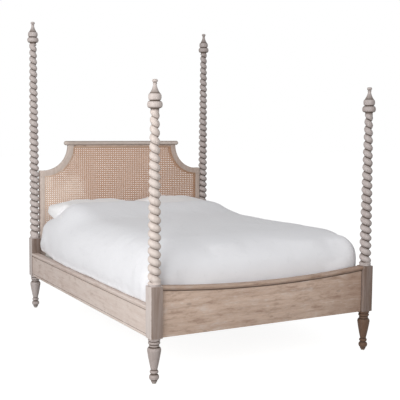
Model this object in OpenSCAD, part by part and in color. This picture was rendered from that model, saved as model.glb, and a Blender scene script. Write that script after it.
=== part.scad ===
// Four-poster bed with barley-twist posts, a caned headboard and a panelled footboard.
// Millimetres. +X runs across the bed, +Y from foot to head, +Z up.
// The origin is on the floor, under the middle of the four posts.

/* [Overall] */
// Distance between the post centres across the bed
span_x = 1480; // [1300:10:1900]
// Distance between the post centres from foot to head
span_y = 2120; // [2000:10:2300]
// Height of a foot post with its finial
foot_post_h = 1665; // [1300:5:1800]
// Height of a head post with its finial
head_post_h = 2190; // [1900:5:2300]

/* [Post blocks] */
// Side of the square block
block_w = 72; // [72:1:90]
// Height of the square block
block_h = 290; // [280:5:340]
// Chamfer on the block's edges
block_chamfer = 2.5; // [1:0.5:4]
// Height of the half-round ring between block and twist
ring_h = 12; // [8:1:18]
// Radius of that ring
ring_r = 36; // [32:0.5:37]

/* [Turned legs] */
// Height of the leg under the block, with its glide
leg_h = 256; // [230:2:300]
// Largest radius of the vase
vase_r = 37; // [32:0.5:40]
// Radius of the ankle under the vase
ankle_r = 17; // [14:0.5:20]
// Height of the ankle above the floor
ankle_z = 80; // [76:1:90]
// Radius of the ball foot
ball_r = 26.5; // [22:0.5:30]
// Height of the ball foot
ball_h = 33; // [28:1:36]
// Height of the ring between ball and ankle
ankle_ring_h = 19; // [15:1:20]
// Radius of the foot's tip
tip_r = 12.5; // [11:0.5:15]
// Radius of the collar under the block
collar_r = 34.5; // [30:0.5:36]
// Thickness of the floor glide
glide_t = 4; // [3:0.5:6]

/* [Twist] */
// Lobe radius at the bottom of a shaft
twist_r_low = 38; // [32:0.5:38.5]
// Lobe radius at the top of a foot shaft
twist_r_top_foot = 25.5; // [22:0.5:30]
// Lobe radius at the top of a head shaft
twist_r_top_head = 27.5; // [22:0.5:30]
// How far the shafts swell outside a straight taper at half height
twist_bow = 2.5; // [0:0.25:4]
// Rise of the rope in one turn
twist_pitch = 47.5; // [45:0.5:70]
// Groove radius for each millimetre of lobe radius
twist_groove = 0.46; // [0.36:0.02:0.8]
// Fullness of the rope: its sides rise out of the groove as a sine to this power
twist_fullness = 0.9; // [0.5:0.05:1.2]
// Turns over which the groove runs out at each end
twist_run_out = 0.25; // [0.25:0.25:1]

/* [Finials] */
// Height of a finial
finial_h = 168; // [156:2:190]
// Radius of the lower bulb
bulb_r = 42; // [36:0.5:46]
// Radius of the upper bulb
upper_bulb_r = 36; // [30:0.5:40]
// Radius of the neck that sits on the shaft
neck_r = 23; // [20:0.5:27]
// Radius of the flat-topped button
button_r = 15.5; // [12:0.5:18]
// Height of the button
button_h = 17; // [13:1:20]
// Height of the collar under the button
button_collar_h = 8; // [6:1:10]
// Height of the hollow cone under that collar
cone_h = 45; // [38:1:50]
// Height of the lower bulb
bulb_h = 38; // [32:1:40]
// Height of the neck
neck_h = 14; // [12:1:16]

/* [Post joints] */
// Radius of the steel rod between block and shaft
rod_r = 6; // [4:0.5:8]
// Length of the rod
rod_l = 130; // [90:2:140]
// Radius of the dowel under a finial
finial_dowel_r = 4; // [3:0.5:5]
// Length of the dowel under a finial
finial_dowel_l = 60; // [40:2:80]
// Clearance round rods, bolts and dowels
bore_fit = 0.3; // [0.1:0.1:0.6]

/* [Headboard] */
// Thickness of the frame
hb_t = 34; // [30:1:40]
// Underside of the frame above the legs
hb_up = 4; // [0:1:30]
// Height of the frame, without its cap
hb_h = 1000; // [900:5:1140]
// Radius of the hollow shoulders
shoulder_r = 194; // [150:2:230]
// Face width of stiles and shoulders, outside the rebate
hb_face_w = 42; // [36:1:56]
// Face width of the bottom rail, outside the rebate
hb_bottom_w = 108; // [90:2:130]
// Face of the headboard's top rail seen below its cap
top_rail_face = 12; // [10:1:24]
// Width of the rebate that takes the cane
rebate_w = 12; // [9:1:16]
// Depth of the rebate
rebate_d = 6; // [5:0.5:8]
// Thickness of the cane sheet
cane_t = 2; // [1.5:0.5:3]
// Openings across the sheet
cane_columns = 12; // [6:1:12]
// Openings from the bottom rail to the top rail
cane_rows = 8; // [4:1:8]
// Side of an opening for each millimetre between the openings' middles
cane_open = 0.66; // [0.4:0.02:0.8]
// Width of the reed spline over the cane's edge
spline_w = 8; // [5:0.5:8.5]
// Half length of the headboard cap
hb_cap_half = 500; // [485:5:520]
// Depth of the headboard cap from front to back
hb_cap_d = 58; // [50:1:70]
// Thickness of the headboard cap
hb_cap_t = 33; // [28:1:38]
// Radius of the wooden dowels
dowel_r = 5; // [4:0.5:6]
// Length of the wooden dowels
dowel_l = 50; // [40:2:50]
// Radius of the stile bolts
bolt_r = 4; // [3:0.5:5]
// Gap between the headboard frame and the twist, above the block
frame_relief = 3; // [3:0.5:6]
// How far the stile bolts reach into the block
bolt_reach = 26; // [20:1:27]
// Radius of the bolt heads
bolt_head_r = 7; // [6:0.5:8]
// Thickness of the bolt heads
bolt_head_t = 8; // [5:1:10]

/* [Footboard] */
// Thickness of the panel
fb_t = 32; // [28:1:40]
// Dip of the cap in the middle
fb_dip = 34; // [15:1:50]
// Depth of the footboard cap from front to back
fb_cap_d = 56; // [50:1:64]
// Thickness of the footboard cap
fb_cap_t = 28; // [24:1:34]
// Thickness of the tenons
tenon_t = 16; // [12:1:20]
// Length of the tenons
tenon_l = 18; // [12:1:20]
// Height of the tenons
tenon_h = 170; // [120:5:190]
// Clearance of the tenons in their mortises
tenon_fit = 0.3; // [0.1:0.1:0.6]

/* [Side rails] */
// Thickness of a rail
rail_t = 30; // [28:1:36]
// Height of a rail under its cap
rail_h = 149; // [140:1:180]
// Height of the bead along the lower edge
bead_h = 16; // [10:1:20]
// Depth of the groove above the bead
quirk_d = 4; // [2:0.5:5]
// Width of the rail cap
rail_cap_w = 46; // [42:1:54]
// Thickness of the rail cap
rail_cap_t = 28; // [22:1:32]
// Gap at each end of a rail
rail_fit = 0.3; // [0.2:0.1:1]

/* [Rail hardware] */
// Height of hook plates and catch plates
plate_h = 110; // [90:2:120]
// Width of the plates
plate_w = 22; // [18:1:24]
// Thickness of the plates
plate_t = 3; // [2:0.5:4]
// Thickness of a hook
hook_t = 4; // [3:0.5:5]
// Height of a hook's neck
hook_neck = 8; // [6:1:10]
// How far a hook hangs below its neck
hook_drop = 10; // [6:1:12]
// Depth of a hook behind the catch plate
hook_d = 5; // [4:0.5:6]
// Clearance round a hook
hook_fit = 0.4; // [0.2:0.1:0.8]

/* [Mattress support] */
// Width of a ledger
ledger_w = 35; // [30:1:45]
// Height of a ledger
ledger_h = 30; // [25:1:35]
// Top of the ledgers above the lower edge of the side rails
ledger_up = 56; // [46:1:75]
// Number of slats
slat_count = 14; // [10:1:18]
// Width of a slat
slat_w = 70; // [50:1:80]
// Thickness of a slat
slat_t = 20; // [16:1:24]
// Gap between a slat's end and the rail
slat_gap = 5; // [2:1:10]
// Distance from the end slats' middles to the footboard and headboard
slat_end = 75; // [60:1:120]
// Width of the centre rail
centre_w = 60; // [50:1:80]
// Height of the centre rail
centre_h = 45; // [35:1:50]
// Thickness of the hangers' steel
hanger_t = 3; // [2:0.5:4]
// How far a hanger reaches under the centre rail
hanger_d = 40; // [30:1:60]
// Radius of the middle leg at its top
mid_leg_r = 25; // [20:0.5:29]
// Thickness of the levelling foot
leveller_t = 8; // [5:1:12]
// Radius of the levelling foot
leveller_r = 18; // [15:0.5:22]

/* [Bedding] */
// Thickness of the mattress
mattress_t = 300; // [240:5:320]
// Gap between the mattress and the side rails
mattress_side_gap = 25; // [15:1:40]
// Gap between the mattress and the footboard and headboard
mattress_end_gap = 43; // [35:1:60]
// Corner radius of the mattress
mattress_r = 60; // [40:5:90]
// Loft of the cover over the middle of the mattress
duvet_loft = 113; // [90:1:150]
// How far the cover bulges past the mattress at the sides
duvet_side = 50; // [42:1:56]
// How far the cover bulges past the mattress at the foot
duvet_foot = 18; // [14:1:24]
// Thickness of the cover where it lies over the pillows
duvet_thin = 34; // [20:1:44]
// How far the cover's head edge lies in front of the headboard, in the middle
duvet_back = 270; // [230:5:320]
// How much nearer to the headboard the cover reaches along the bed's sides
duvet_lap = 200; // [120:5:215]
// Height of the cover's head edge over the mattress
duvet_head_h = 216; // [206:1:236]
// Length of the cover's slope up to the pillows
duvet_slope = 300; // [200:10:400]
// Width of the cover's fall from the pillows to the bed's sides
duvet_fall = 170; // [120:5:200]
// Width of the strip at each side that laps nearer to the headboard
duvet_lap_w = 210; // [150:5:260]
// Radius of the cover's corners in plan
duvet_corner_r = 100; // [80:5:140]
// Height of a pillow
pillow_h = 212; // [150:2:214]
// Depth of a pillow from front to back
pillow_d = 430; // [400:5:440]
// How far a pillow's crown leans back towards the headboard
pillow_lean = 190; // [150:5:200]
// Gap between the pillows and the headboard
pillow_gap = 12; // [2:1:20]
// Gap between the two pillows
pillow_split = 24; // [15:1:60]
// Distance from a pillow's outer end to the mattress's side
pillow_inset = 40; // [40:2:80]
// Clearance of each soft piece to what it lies on
soft_fit = 0.4; // [0.3:0.1:1]

/* [Hidden] */
$fn = 64;
half_x = span_x / 2;
half_y = span_y / 2;
half_block = block_w / 2;
block_top = leg_h + block_h;
shaft_z0 = block_top + ring_h;
rail_z0 = leg_h;
rail_z1 = rail_z0 + rail_h;
rail_cap_z1 = rail_z1 + rail_cap_t;
rail_end = half_y - half_block - rail_fit;
inner_face_x = half_x - half_block;
rail_in_x = half_x - rail_t / 2;
ledger_z = rail_z0 + ledger_up;
fb_back_y = -half_y + fb_t / 2;
hb_front_y = half_y - hb_t / 2;
hb_z0 = leg_h + hb_up;
hb_z1 = hb_z0 + hb_h;
hb_member = hb_face_w + rebate_w;
cane_half = inner_face_x - hb_face_w;
stile_z1 = hb_z1 - shoulder_r - hb_member;
hb_bottom_z1 = hb_z0 + hb_bottom_w + rebate_w;
cane_z0 = hb_bottom_z1 - rebate_w;
top_rail_z0 = hb_z1 - top_rail_face;
cane_y = hb_front_y + rebate_d;
cane_fit = 0.4;
steel = [0.55, 0.56, 0.58];
wood = [0.70, 0.62, 0.56];
wood_dark = [0.60, 0.52, 0.46];
raw_wood = [0.80, 0.70, 0.56];
cane_tone = [0.78, 0.63, 0.50];
white = [0.93, 0.93, 0.94];

// Places at the four corners: x side (-1 left, 1 right), y side (-1 foot, 1 head)
foot = -1;
head = 1;
left = -1;
right = 1;
corners = [[left, foot], [right, foot], [left, head], [right, head]];

// A box given by its lowest and highest corners
module block_between(low, high) {
    translate(low) cube(high - low);
}

// A cylinder along X from x0 to x1
module rod_x(x0, x1, y, z, r) {
    translate([min(x0, x1), y, z]) rotate([0, 90, 0]) cylinder(r = r, h = abs(x1 - x0));
}

// Turns local post space, in which +X and +Y point into the bed, to one corner
module at_corner(side, end) {
    translate([side * half_x, end * half_y, 0])
        mirror([side > 0 ? 1 : 0, 0, 0]) mirror([0, end > 0 ? 1 : 0, 0]) children();
}

// Half-round bead on a radius, from z0 to z1
function bead(z0, z1, r, bulge, steps = 8) =
    [for (i = [0 : steps]) let (a = 180 * i / steps) [r + bulge * sin(a), z0 + (z1 - z0) * (1 - cos(a)) / 2]];

// Line from one radius to the next, bowed outwards, or hollow where bow is negative
function bowed(z0, r0, z1, r1, bow, steps = 6) =
    [for (i = [0 : steps]) let (t = i / steps) [r0 + (r1 - r0) * t + bow * sin(180 * t), z0 + (z1 - z0) * t]];

// Outline of the turned leg, from its tip to the block
leg_top = leg_h + 1;
ball_z1 = ankle_z - ankle_ring_h - 7;
leg_profile = concat(
    [[0, glide_t]],
    bowed(glide_t, tip_r, ball_z1 - ball_h - 1, ankle_r, 1.5, 3),
    bead(ball_z1 - ball_h, ball_z1, ankle_r - 2, ball_r - ankle_r + 2),
    bead(ball_z1 + 4, ankle_z - 3, ankle_r - 2, 8),
    bowed(ankle_z, ankle_r, leg_h - 68, vase_r, 1.2, 6),
    [for (a = [15 : 15 : 75]) [vase_r - 8 + 8 * cos(a), leg_h - 68 + 17 * sin(a)]],
    [[26, leg_h - 50]],
    bead(leg_h - 49, leg_h - 36, 25.5, 3.5, 6),
    bead(leg_h - 34, leg_h - 17, 26, 8),
    [[30, leg_h - 15], [collar_r, leg_h - 12], [collar_r, leg_top], [0, leg_top]]
);

// Block seen from above, with chamfered edges
module block_outline() {
    w = half_block;
    c = block_chamfer;
    polygon([[w - c, -w], [w, c - w], [w, w - c], [w - c, w],
             [c - w, w], [-w, w - c], [-w, c - w], [c - w, -w]]);
}

hook_z = [plate_h / 4, -plate_h / 4];
plate_z = (rail_z0 + rail_z1) / 2;
hook_reach = rail_fit + plate_t + hook_fit;

// Recess for a catch plate and the pocket behind it, on the face that looks along the rail
module catch_recess() {
    pocket_d = plate_t + hook_fit * 2 + hook_d;
    block_between([-plate_w / 2, half_block - plate_t, plate_z - plate_h / 2],
                  [plate_w / 2, half_block + 1, plate_z + plate_h / 2]);
    for (z = hook_z)
        block_between([-hook_t / 2 - hook_fit, half_block - pocket_d, plate_z + z - hook_drop - hook_fit],
                      [hook_t / 2 + hook_fit, half_block + 1, plate_z + z + 2 * hook_neck + hook_drop]);
}

bolt_z = [hb_bottom_z1 + 30, block_top - 36];
ring_bulge = 4.5;

// Turned leg and square block in one billet, with its mortises and bores
module post_base(side, end) {
    color(wood) at_corner(side, end) difference() {
        union() {
            rotate_extrude() polygon(leg_profile);
            translate([0, 0, leg_h]) linear_extrude(block_h) block_outline();
            translate([0, 0, block_top])
                rotate_extrude() polygon(concat([[0, -1], [ring_r - ring_bulge, -1]],
                                                bead(0, ring_h, ring_r - ring_bulge, ring_bulge, 6),
                                                [[0, ring_h]]));
        }
        translate([0, 0, shaft_z0 - rod_l / 2 - 1]) cylinder(r = rod_r + bore_fit, h = rod_l);
        translate([0, 0, glide_t - 1]) cylinder(r = glide_pin_r + bore_fit, h = glide_pin_l + 2);
        catch_recess();
        if (end == foot)
            block_between([half_block - tenon_l - tenon_fit, -tenon_t / 2 - tenon_fit, tenon_z0 - tenon_fit],
                          [half_block + 1, tenon_t / 2 + tenon_fit, tenon_z0 + tenon_h + tenon_fit]);
        else
            for (z = bolt_z) rod_x(half_block - bolt_reach - 1, half_block + 1, 0, z, bolt_r + bore_fit);
    }
}

// Closed skin over rings of points: each end closes on a point in its middle
function skin_points(rings) =
    let (first = rings[0], last = rings[len(rings) - 1])
    concat([for (r = rings) each r], [middle(first), middle(last)]);
function middle(ring) = let (s = [for (p = ring) 1] * ring) s / len(ring);
function skin_faces(count, n) =
    let (low = count * n, high = low + 1)
    concat(
        [for (i = [0 : n - 1]) [low, i, (i + 1) % n]],
        [for (k = [0 : count - 2], i = [0 : n - 1])
            let (a = k * n + i, b = k * n + (i + 1) % n, c = b + n, d = a + n) each [[a, d, b], [d, c, b]]],
        [for (i = [0 : n - 1]) [high, (count - 1) * n + (i + 1) % n, (count - 1) * n + i]]
    );
module skin(rings) {
    polyhedron(skin_points(rings), skin_faces(len(rings), len(rings[0])), convexity = 8);
}

// Barley twist: one rope wound round the axis, left-handed, as a cross-section whose lobe turns with height.
// Vertices stay at fixed angles, so that each groove runs along the mesh's own diagonals.
twist_sides = 8;
twist_steps = 8;
function round_ring(r, z) =
    [for (i = [0 : twist_sides - 1]) let (a = 360 * i / twist_sides) [r * cos(a), r * sin(a), z]];
function rope(u) = twist_groove + (1 - twist_groove) * pow(sin(180 * u), twist_fullness);
function twist_ring(k, n, r, z) =
    let (run = min(1, k / (twist_run_out * twist_steps), (n - k) / (twist_run_out * twist_steps)))
    [for (i = [0 : twist_sides - 1])
        let (a = 360 * i / twist_sides,
             phase = k / twist_steps + i / twist_sides,
             u = phase - floor(phase),
             q = r * (1 - run * (1 - rope(u))))
        [q * cos(a), q * sin(a), z]];
function flat_r(r) = r / cos(180 / twist_sides);

function post_h(end) = end == foot ? foot_post_h : head_post_h;

// Twisted shaft, bored at its foot for the rod and at its top for the finial's dowel
module twist_shaft(side, end) {
    shaft_l = post_h(end) - finial_h - shaft_z0;
    r_top = end == foot ? twist_r_top_foot : twist_r_top_head;
    n = ceil(shaft_l / twist_pitch * twist_steps);
    rod_hole = flat_r(rod_r + bore_fit);
    dowel_hole = flat_r(finial_dowel_r + bore_fit);
    color(wood) translate([side * half_x, end * half_y, shaft_z0])
        skin(concat(
            [round_ring(rod_hole, rod_l / 2 + 1), round_ring(rod_hole, 0)],
            [for (k = [0 : n])
                let (r = twist_r_low + (r_top - twist_r_low) * k / n + twist_bow * sin(180 * k / n))
                twist_ring(k, n, r, shaft_l * k / n)],
            [round_ring(dowel_hole, shaft_l), round_ring(dowel_hole, shaft_l - finial_dowel_l / 2 - 1)]
        ));
}

// Turned finial: neck, two bulbs, a hollow cone, a collar and a flat-topped button
module finial(side, end) {
    h = finial_h;
    groove_z = neck_h + bulb_h + 2;
    cone_z1 = h - button_h - button_collar_h - 3;
    cone_z0 = cone_z1 - cone_h;
    cone_r = 9.5;
    color(wood) translate([side * half_x, end * half_y, post_h(end) - h]) difference() {
        rotate_extrude() polygon(concat(
            [[0, 0], [neck_r - 2, 0], [neck_r, 2], [neck_r, neck_h - 6], [neck_r + 3, neck_h - 1]],
            bead(neck_h, neck_h + bulb_h, 30, bulb_r - 30, 10),
            [[27, groove_z]],
            bead(groove_z + 2, cone_z0 - 3, 29, upper_bulb_r - 29),
            bowed(cone_z0, 27, cone_z1, cone_r, -3, 6),
            bead(cone_z1 + 1, cone_z1 + 1 + button_collar_h, cone_r, 2.5, 4),
            bead(h - button_h, h, button_r - 7, 7, 8),
            [[0, h]]
        ));
        translate([0, 0, -1]) cylinder(r = finial_dowel_r + bore_fit, h = finial_dowel_l / 2 + 2);
    }
}

// Threaded steel rods between blocks and shafts
module shaft_rods() {
    color(steel) for (c = corners)
        translate([c.x * half_x, c.y * half_y, shaft_z0 - rod_l / 2]) cylinder(r = rod_r, h = rod_l);
}

// Beech dowels between shafts and finials
module finial_dowels() {
    color(raw_wood) for (c = corners)
        translate([c.x * half_x, c.y * half_y, post_h(c.y) - finial_h - finial_dowel_l / 2])
            cylinder(r = finial_dowel_r, h = finial_dowel_l);
}

glide_pin_r = 2.5;
glide_pin_l = 16;

// Nylon glides that carry the legs, each with a pin up the leg
module floor_glides() {
    color([0.85, 0.85, 0.82]) for (c = corners) translate([c.x * half_x, c.y * half_y, 0]) {
        cylinder(r = tip_r - 1, h = glide_t);
        cylinder(r = glide_pin_r, h = glide_t + glide_pin_l);
    }
}

// Turns a drawing of the headboard's front, in x and z, into a slab from y0 to y1
module upright(y0, y1) {
    translate([0, y1, 0]) rotate([90, 0, 0]) linear_extrude(y1 - y0) children();
}

// Left-hand pieces are drawn on the right and mirrored
module on_side(side) {
    mirror([side > 0 ? 0 : 1, 0, 0]) children();
}

stile_in_x = inner_face_x - hb_member;
stile_dowel_x = inner_face_x - hb_face_w / 2;
bottom_dowel_z = [hb_z0 + 30, hb_z0 + hb_bottom_w - 24];
top_dowel_z = hb_z1 - (top_rail_face + rebate_w) / 2;
shoulder_out_r = shoulder_r + hb_member;
top_rail_end = cane_half - shoulder_out_r;
hb_y0 = hb_front_y;
hb_y1 = hb_front_y + hb_t;

// Upright of the headboard frame, bolted to the block, drawn in above it and rebated for the cane
module headboard_stile(side) {
    color(wood) on_side(side) difference() {
        block_between([stile_in_x, hb_y0, hb_z0], [inner_face_x, hb_y1, stile_z1]);
        block_between([inner_face_x - frame_relief, hb_y0 - 1, block_top],
                      [inner_face_x + 1, hb_y1 + 1, stile_z1 + 1]);
        block_between([stile_in_x - 1, hb_y0 - 1, cane_z0], [cane_half, cane_y, stile_z1 + 1]);
        for (z = bolt_z) {
            rod_x(stile_in_x - 1, inner_face_x + 1, half_y, z, bolt_r + bore_fit);
            rod_x(stile_in_x - 1, stile_in_x + bolt_head_t + bore_fit, half_y, z, bolt_head_r + bore_fit);
        }
        for (z = bottom_dowel_z)
            rod_x(stile_in_x - 1, stile_in_x + dowel_l / 2 + 1, half_y, z, dowel_r + bore_fit);
        translate([stile_dowel_x, half_y, stile_z1 - dowel_l / 2 - 1])
            cylinder(r = dowel_r + bore_fit, h = dowel_l);
    }
}

// Hollow quarter arc between stile and top rail
module headboard_shoulder(side) {
    color(wood) on_side(side) difference() {
        upright(hb_y0, hb_y1) shoulder_outline(shoulder_r, shoulder_out_r, inner_face_x - frame_relief);
        upright(hb_y0 - 1, cane_y) shoulder_outline(shoulder_out_r - rebate_w, shoulder_out_r + 1, cane_half);
        translate([stile_dowel_x, half_y, stile_z1 - 1])
            cylinder(r = dowel_r + bore_fit, h = dowel_l / 2 + 2);
        rod_x(top_rail_end - 10, top_rail_end + dowel_l / 2 + 1, half_y, top_dowel_z, dowel_r + bore_fit);
    }
}
module shoulder_outline(r_in, r_out, x_end) {
    difference() {
        union() {
            intersection() {
                translate([cane_half, hb_z1]) circle(r = r_out, $fn = 180);
                translate([cane_half - r_out, hb_z1 - r_out]) square(r_out);
            }
            if (x_end > cane_half)
                translate([cane_half - 1, hb_z1 - r_out]) square([x_end - cane_half + 1, r_out - r_in]);
        }
        translate([cane_half, hb_z1]) circle(r = r_in, $fn = 180);
    }
}

// Rail under the cap, fitted between the curved shoulders
module headboard_top_rail() {
    color(wood) difference() {
        block_between([-top_rail_end - 8, hb_y0, top_rail_z0 - rebate_w], [top_rail_end + 8, hb_y1, hb_z1]);
        block_between([-top_rail_end - 9, hb_y0 - 1, top_rail_z0 - rebate_w - 1],
                      [top_rail_end + 9, cane_y, top_rail_z0]);
        for (side = [left, right]) {
            translate([side * cane_half, hb_y1 + 1, hb_z1]) rotate([90, 0, 0])
                cylinder(r = shoulder_out_r + bore_fit, h = hb_t + 2, $fn = 180);
            rod_x(side * (top_rail_end - dowel_l / 2 - 1), side * (top_rail_end + 9), half_y, top_dowel_z,
                  dowel_r + bore_fit);
        }
        for (x = cap_dowel_x)
            translate([x, half_y, hb_z1 - dowel_l / 4 - 1]) cylinder(r = dowel_r + bore_fit, h = dowel_l);
    }
}
cap_dowel_x = [-300, 0, 300];

// Wide rail behind the mattress
module headboard_bottom_rail() {
    color(wood) difference() {
        block_between([-stile_in_x, hb_y0, hb_z0], [stile_in_x, hb_y1, hb_bottom_z1]);
        block_between([-stile_in_x - 1, hb_y0 - 1, cane_z0], [stile_in_x + 1, cane_y, hb_bottom_z1 + 1]);
        for (side = [left, right], z = bottom_dowel_z)
            rod_x(side * (stile_in_x - dowel_l / 2 - 1), side * (stile_in_x + 1), half_y, z,
                  dowel_r + bore_fit);
    }
}

// Outer edge of a cap moulding: round nose, then a step back to the underside
function nosing(w, t) =
    let (r = t * 0.32, s = t * 0.25)
    concat([for (a = [90 : -15 : -60]) [w / 2 - r + r * cos(a), t - r + r * sin(a)]],
           [[w / 2 - s, t - 2 * r], [w / 2 - s - 1.5, 2], [w / 2 - s - 3.5, 0]]);
function mirrored(points) = [for (i = [len(points) - 1 : -1 : 0]) [-points[i].x, points[i].y]];

// Moulded cap with half-round ends
module headboard_cap() {
    end_x = hb_cap_half - hb_cap_d / 2;
    color(wood) translate([0, half_y, hb_z1]) difference() {
        union() {
            translate([-end_x, 0, 0]) rotate([90, 0, 90]) linear_extrude(2 * end_x)
                polygon(concat(nosing(hb_cap_d, hb_cap_t), mirrored(nosing(hb_cap_d, hb_cap_t))));
            for (side = [left, right]) translate([side * end_x, 0, 0])
                rotate_extrude() polygon(concat([[0, hb_cap_t]], nosing(hb_cap_d, hb_cap_t), [[0, 0]]));
        }
        for (x = cap_dowel_x) translate([x, 0, -1]) cylinder(r = dowel_r + bore_fit, h = dowel_l / 4 + 2);
    }
}

// The cane's outline: the opening and its rebate, with hollow top corners, drawn in by inset
module cane_outline(inset) {
    w = cane_half - inset;
    difference() {
        translate([-w, cane_z0 + inset]) square([2 * w, top_rail_z0 - cane_z0 - 2 * inset]);
        for (side = [left, right]) translate([side * cane_half, hb_z1])
            circle(r = shoulder_out_r - rebate_w + inset, $fn = 180);
    }
}

// Cane sheet, let into the rebate, with a plain grid of openings where the weave is open
module cane_panel() {
    border = cane_fit + spline_w + 4;
    x0 = border - cane_half;
    z0 = cane_z0 + border;
    step = [-2 * x0 / cane_columns, (top_rail_z0 - border - z0) / cane_rows];
    hole = cane_open * step;
    corner_r = shoulder_out_r - rebate_w + border;
    color(cane_tone) upright(cane_y - cane_t, cane_y) difference() {
        cane_outline(cane_fit);
        for (i = [0 : cane_columns - 1], j = [0 : cane_rows - 1]) {
            p = [x0 + (i + 0.5) * step.x, z0 + (j + 0.5) * step.y];
            if (norm([cane_half - abs(p.x), hb_z1 - p.y] - hole / 2) > corner_r)
                translate(p - hole / 2) square(hole);
        }
    }
}

// Reed spline that holds the cane's edge down
module cane_spline() {
    color([0.72, 0.58, 0.45]) upright(hb_y0 + 0.5, cane_y - cane_t) difference() {
        cane_outline(cane_fit);
        cane_outline(cane_fit + spline_w);
    }
}

// Beech dowels of the headboard frame and its cap
module headboard_dowels() {
    color(raw_wood) {
        for (side = [left, right]) {
            for (z = bottom_dowel_z)
                rod_x(side * (stile_in_x - dowel_l / 2), side * (stile_in_x + dowel_l / 2), half_y, z,
                      dowel_r);
            rod_x(side * (top_rail_end - dowel_l / 2), side * (top_rail_end + dowel_l / 2), half_y,
                  top_dowel_z, dowel_r);
            translate([side * stile_dowel_x, half_y, stile_z1 - dowel_l / 2])
                cylinder(r = dowel_r, h = dowel_l);
        }
        for (x = cap_dowel_x)
            translate([x, half_y, hb_z1 - dowel_l / 4]) cylinder(r = dowel_r, h = dowel_l / 2);
    }
}

// Socket-head bolts from the stiles into the head blocks
module headboard_bolts() {
    color(steel) for (side = [left, right], z = bolt_z) {
        rod_x(side * stile_in_x, side * (stile_in_x + bolt_head_t), half_y, z, bolt_head_r);
        rod_x(side * (stile_in_x + bolt_head_t / 2), side * (inner_face_x + bolt_reach), half_y, z, bolt_r);
    }
}

tenon_z0 = rail_z0 + (block_h - fb_dip - fb_cap_t - tenon_h) / 2;
fb_cap_mid_z = block_top - fb_dip;
fb_arc_r = (inner_face_x * inner_face_x + fb_dip * fb_dip) / (2 * fb_dip);
fb_arc_z = fb_cap_mid_z + fb_arc_r;

// Solid footboard with a hollowed top edge and a tenon at each end
module footboard_panel() {
    color(wood_dark) {
        difference() {
            block_between([-inner_face_x, -half_y - fb_t / 2, rail_z0], [inner_face_x, fb_back_y, block_top]);
            translate([0, fb_back_y + 1, fb_arc_z]) rotate([90, 0, 0])
                cylinder(r = fb_arc_r + fb_cap_t, h = fb_t + 2, $fn = 900);
        }
        for (side = [left, right])
            on_side(side) block_between([inner_face_x - 1, -half_y - tenon_t / 2, tenon_z0],
                                        [inner_face_x + tenon_l, -half_y + tenon_t / 2, tenon_z0 + tenon_h]);
    }
}

// Curved moulding on the footboard, swept round the same arc and cut off square at the blocks
module footboard_cap() {
    half_angle = 11.2;
    edge = nosing(fb_cap_d, fb_cap_t);
    all_round = concat(edge, mirrored(edge));
    color(wood_dark) intersection() {
        translate([0, -half_y, fb_arc_z]) rotate([-90, 0, 0]) rotate([0, 0, 90 - half_angle])
            rotate_extrude(angle = 2 * half_angle, $fn = 900)
                polygon([for (p = all_round) [fb_arc_r + fb_cap_t - p.y, p.x]]);
        block_between([-inner_face_x, -half_y - fb_cap_d, fb_cap_mid_z - 2 * fb_cap_t],
                      [inner_face_x, -half_y + fb_cap_d, block_top + fb_cap_t]);
    }
}

// Side rail: a board with a bead and quirk along its lower outer edge
module side_rail(side) {
    o = rail_t / 2;
    q = quirk_d;
    profile = concat(
        [[-o, 0]],
        [for (a = [-90 : 22.5 : 90]) [o - q + q * cos(a), bead_h / 2 + bead_h / 2 * sin(a)]],
        [[o - q, bead_h + 2], [o, bead_h + 4], [o, rail_h], [-o, rail_h]]
    );
    color(wood) difference() {
        on_side(side) translate([half_x, rail_end, rail_z0]) rotate([90, 0, 0])
            linear_extrude(2 * rail_end) polygon(profile);
        for (end = [foot, head])
            block_between([side * half_x - plate_w / 2, end > 0 ? rail_end - plate_t : -rail_end - 1,
                           plate_z - plate_h / 2],
                          [side * half_x + plate_w / 2, end > 0 ? rail_end + 1 : plate_t - rail_end,
                           plate_z + plate_h / 2]);
    }
}

// Moulded cap along the top of a side rail
module rail_cap(side) {
    edge = nosing(rail_cap_w, rail_cap_t);
    color(wood) translate([side * half_x, rail_end, rail_z1]) rotate([90, 0, 0])
        linear_extrude(2 * rail_end) polygon(concat(edge, mirrored(edge)));
}

// Steel plates let into the rails' ends, each with two hooks
module rail_hooks() {
    color(steel) for (c = corners) at_corner(c.x, c.y) {
        rail_face = half_block + rail_fit;
        block_between([-plate_w / 2, rail_face, plate_z - plate_h / 2],
                      [plate_w / 2, rail_face + plate_t, plate_z + plate_h / 2]);
        for (z = hook_z) {
            block_between([-hook_t / 2, rail_face - hook_reach, plate_z + z],
                          [hook_t / 2, rail_face + 1, plate_z + z + hook_neck]);
            block_between([-hook_t / 2, rail_face - hook_reach - hook_d, plate_z + z - hook_drop],
                          [hook_t / 2, rail_face - hook_reach, plate_z + z + hook_neck]);
        }
    }
}

// Slotted steel plates let into the blocks, which the hooks drop into
module post_catches() {
    color(steel) for (c = corners) at_corner(c.x, c.y) difference() {
        block_between([-plate_w / 2, half_block - plate_t, plate_z - plate_h / 2],
                      [plate_w / 2, half_block, plate_z + plate_h / 2]);
        for (z = hook_z)
            block_between([-hook_t / 2 - hook_fit, half_block - plate_t - 1, plate_z + z - 0.3],
                          [hook_t / 2 + hook_fit, half_block + 1, plate_z + z + 2 * hook_neck + hook_drop]);
    }
}

// Batten along the inside of a side rail
module slat_ledger(side) {
    color(raw_wood) on_side(side)
        block_between([rail_in_x - ledger_w, -rail_end, ledger_z - ledger_h],
                      [rail_in_x, rail_end, ledger_z]);
}

slat_y0 = fb_back_y + slat_end;
slat_y1 = hb_front_y - slat_end;

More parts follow.
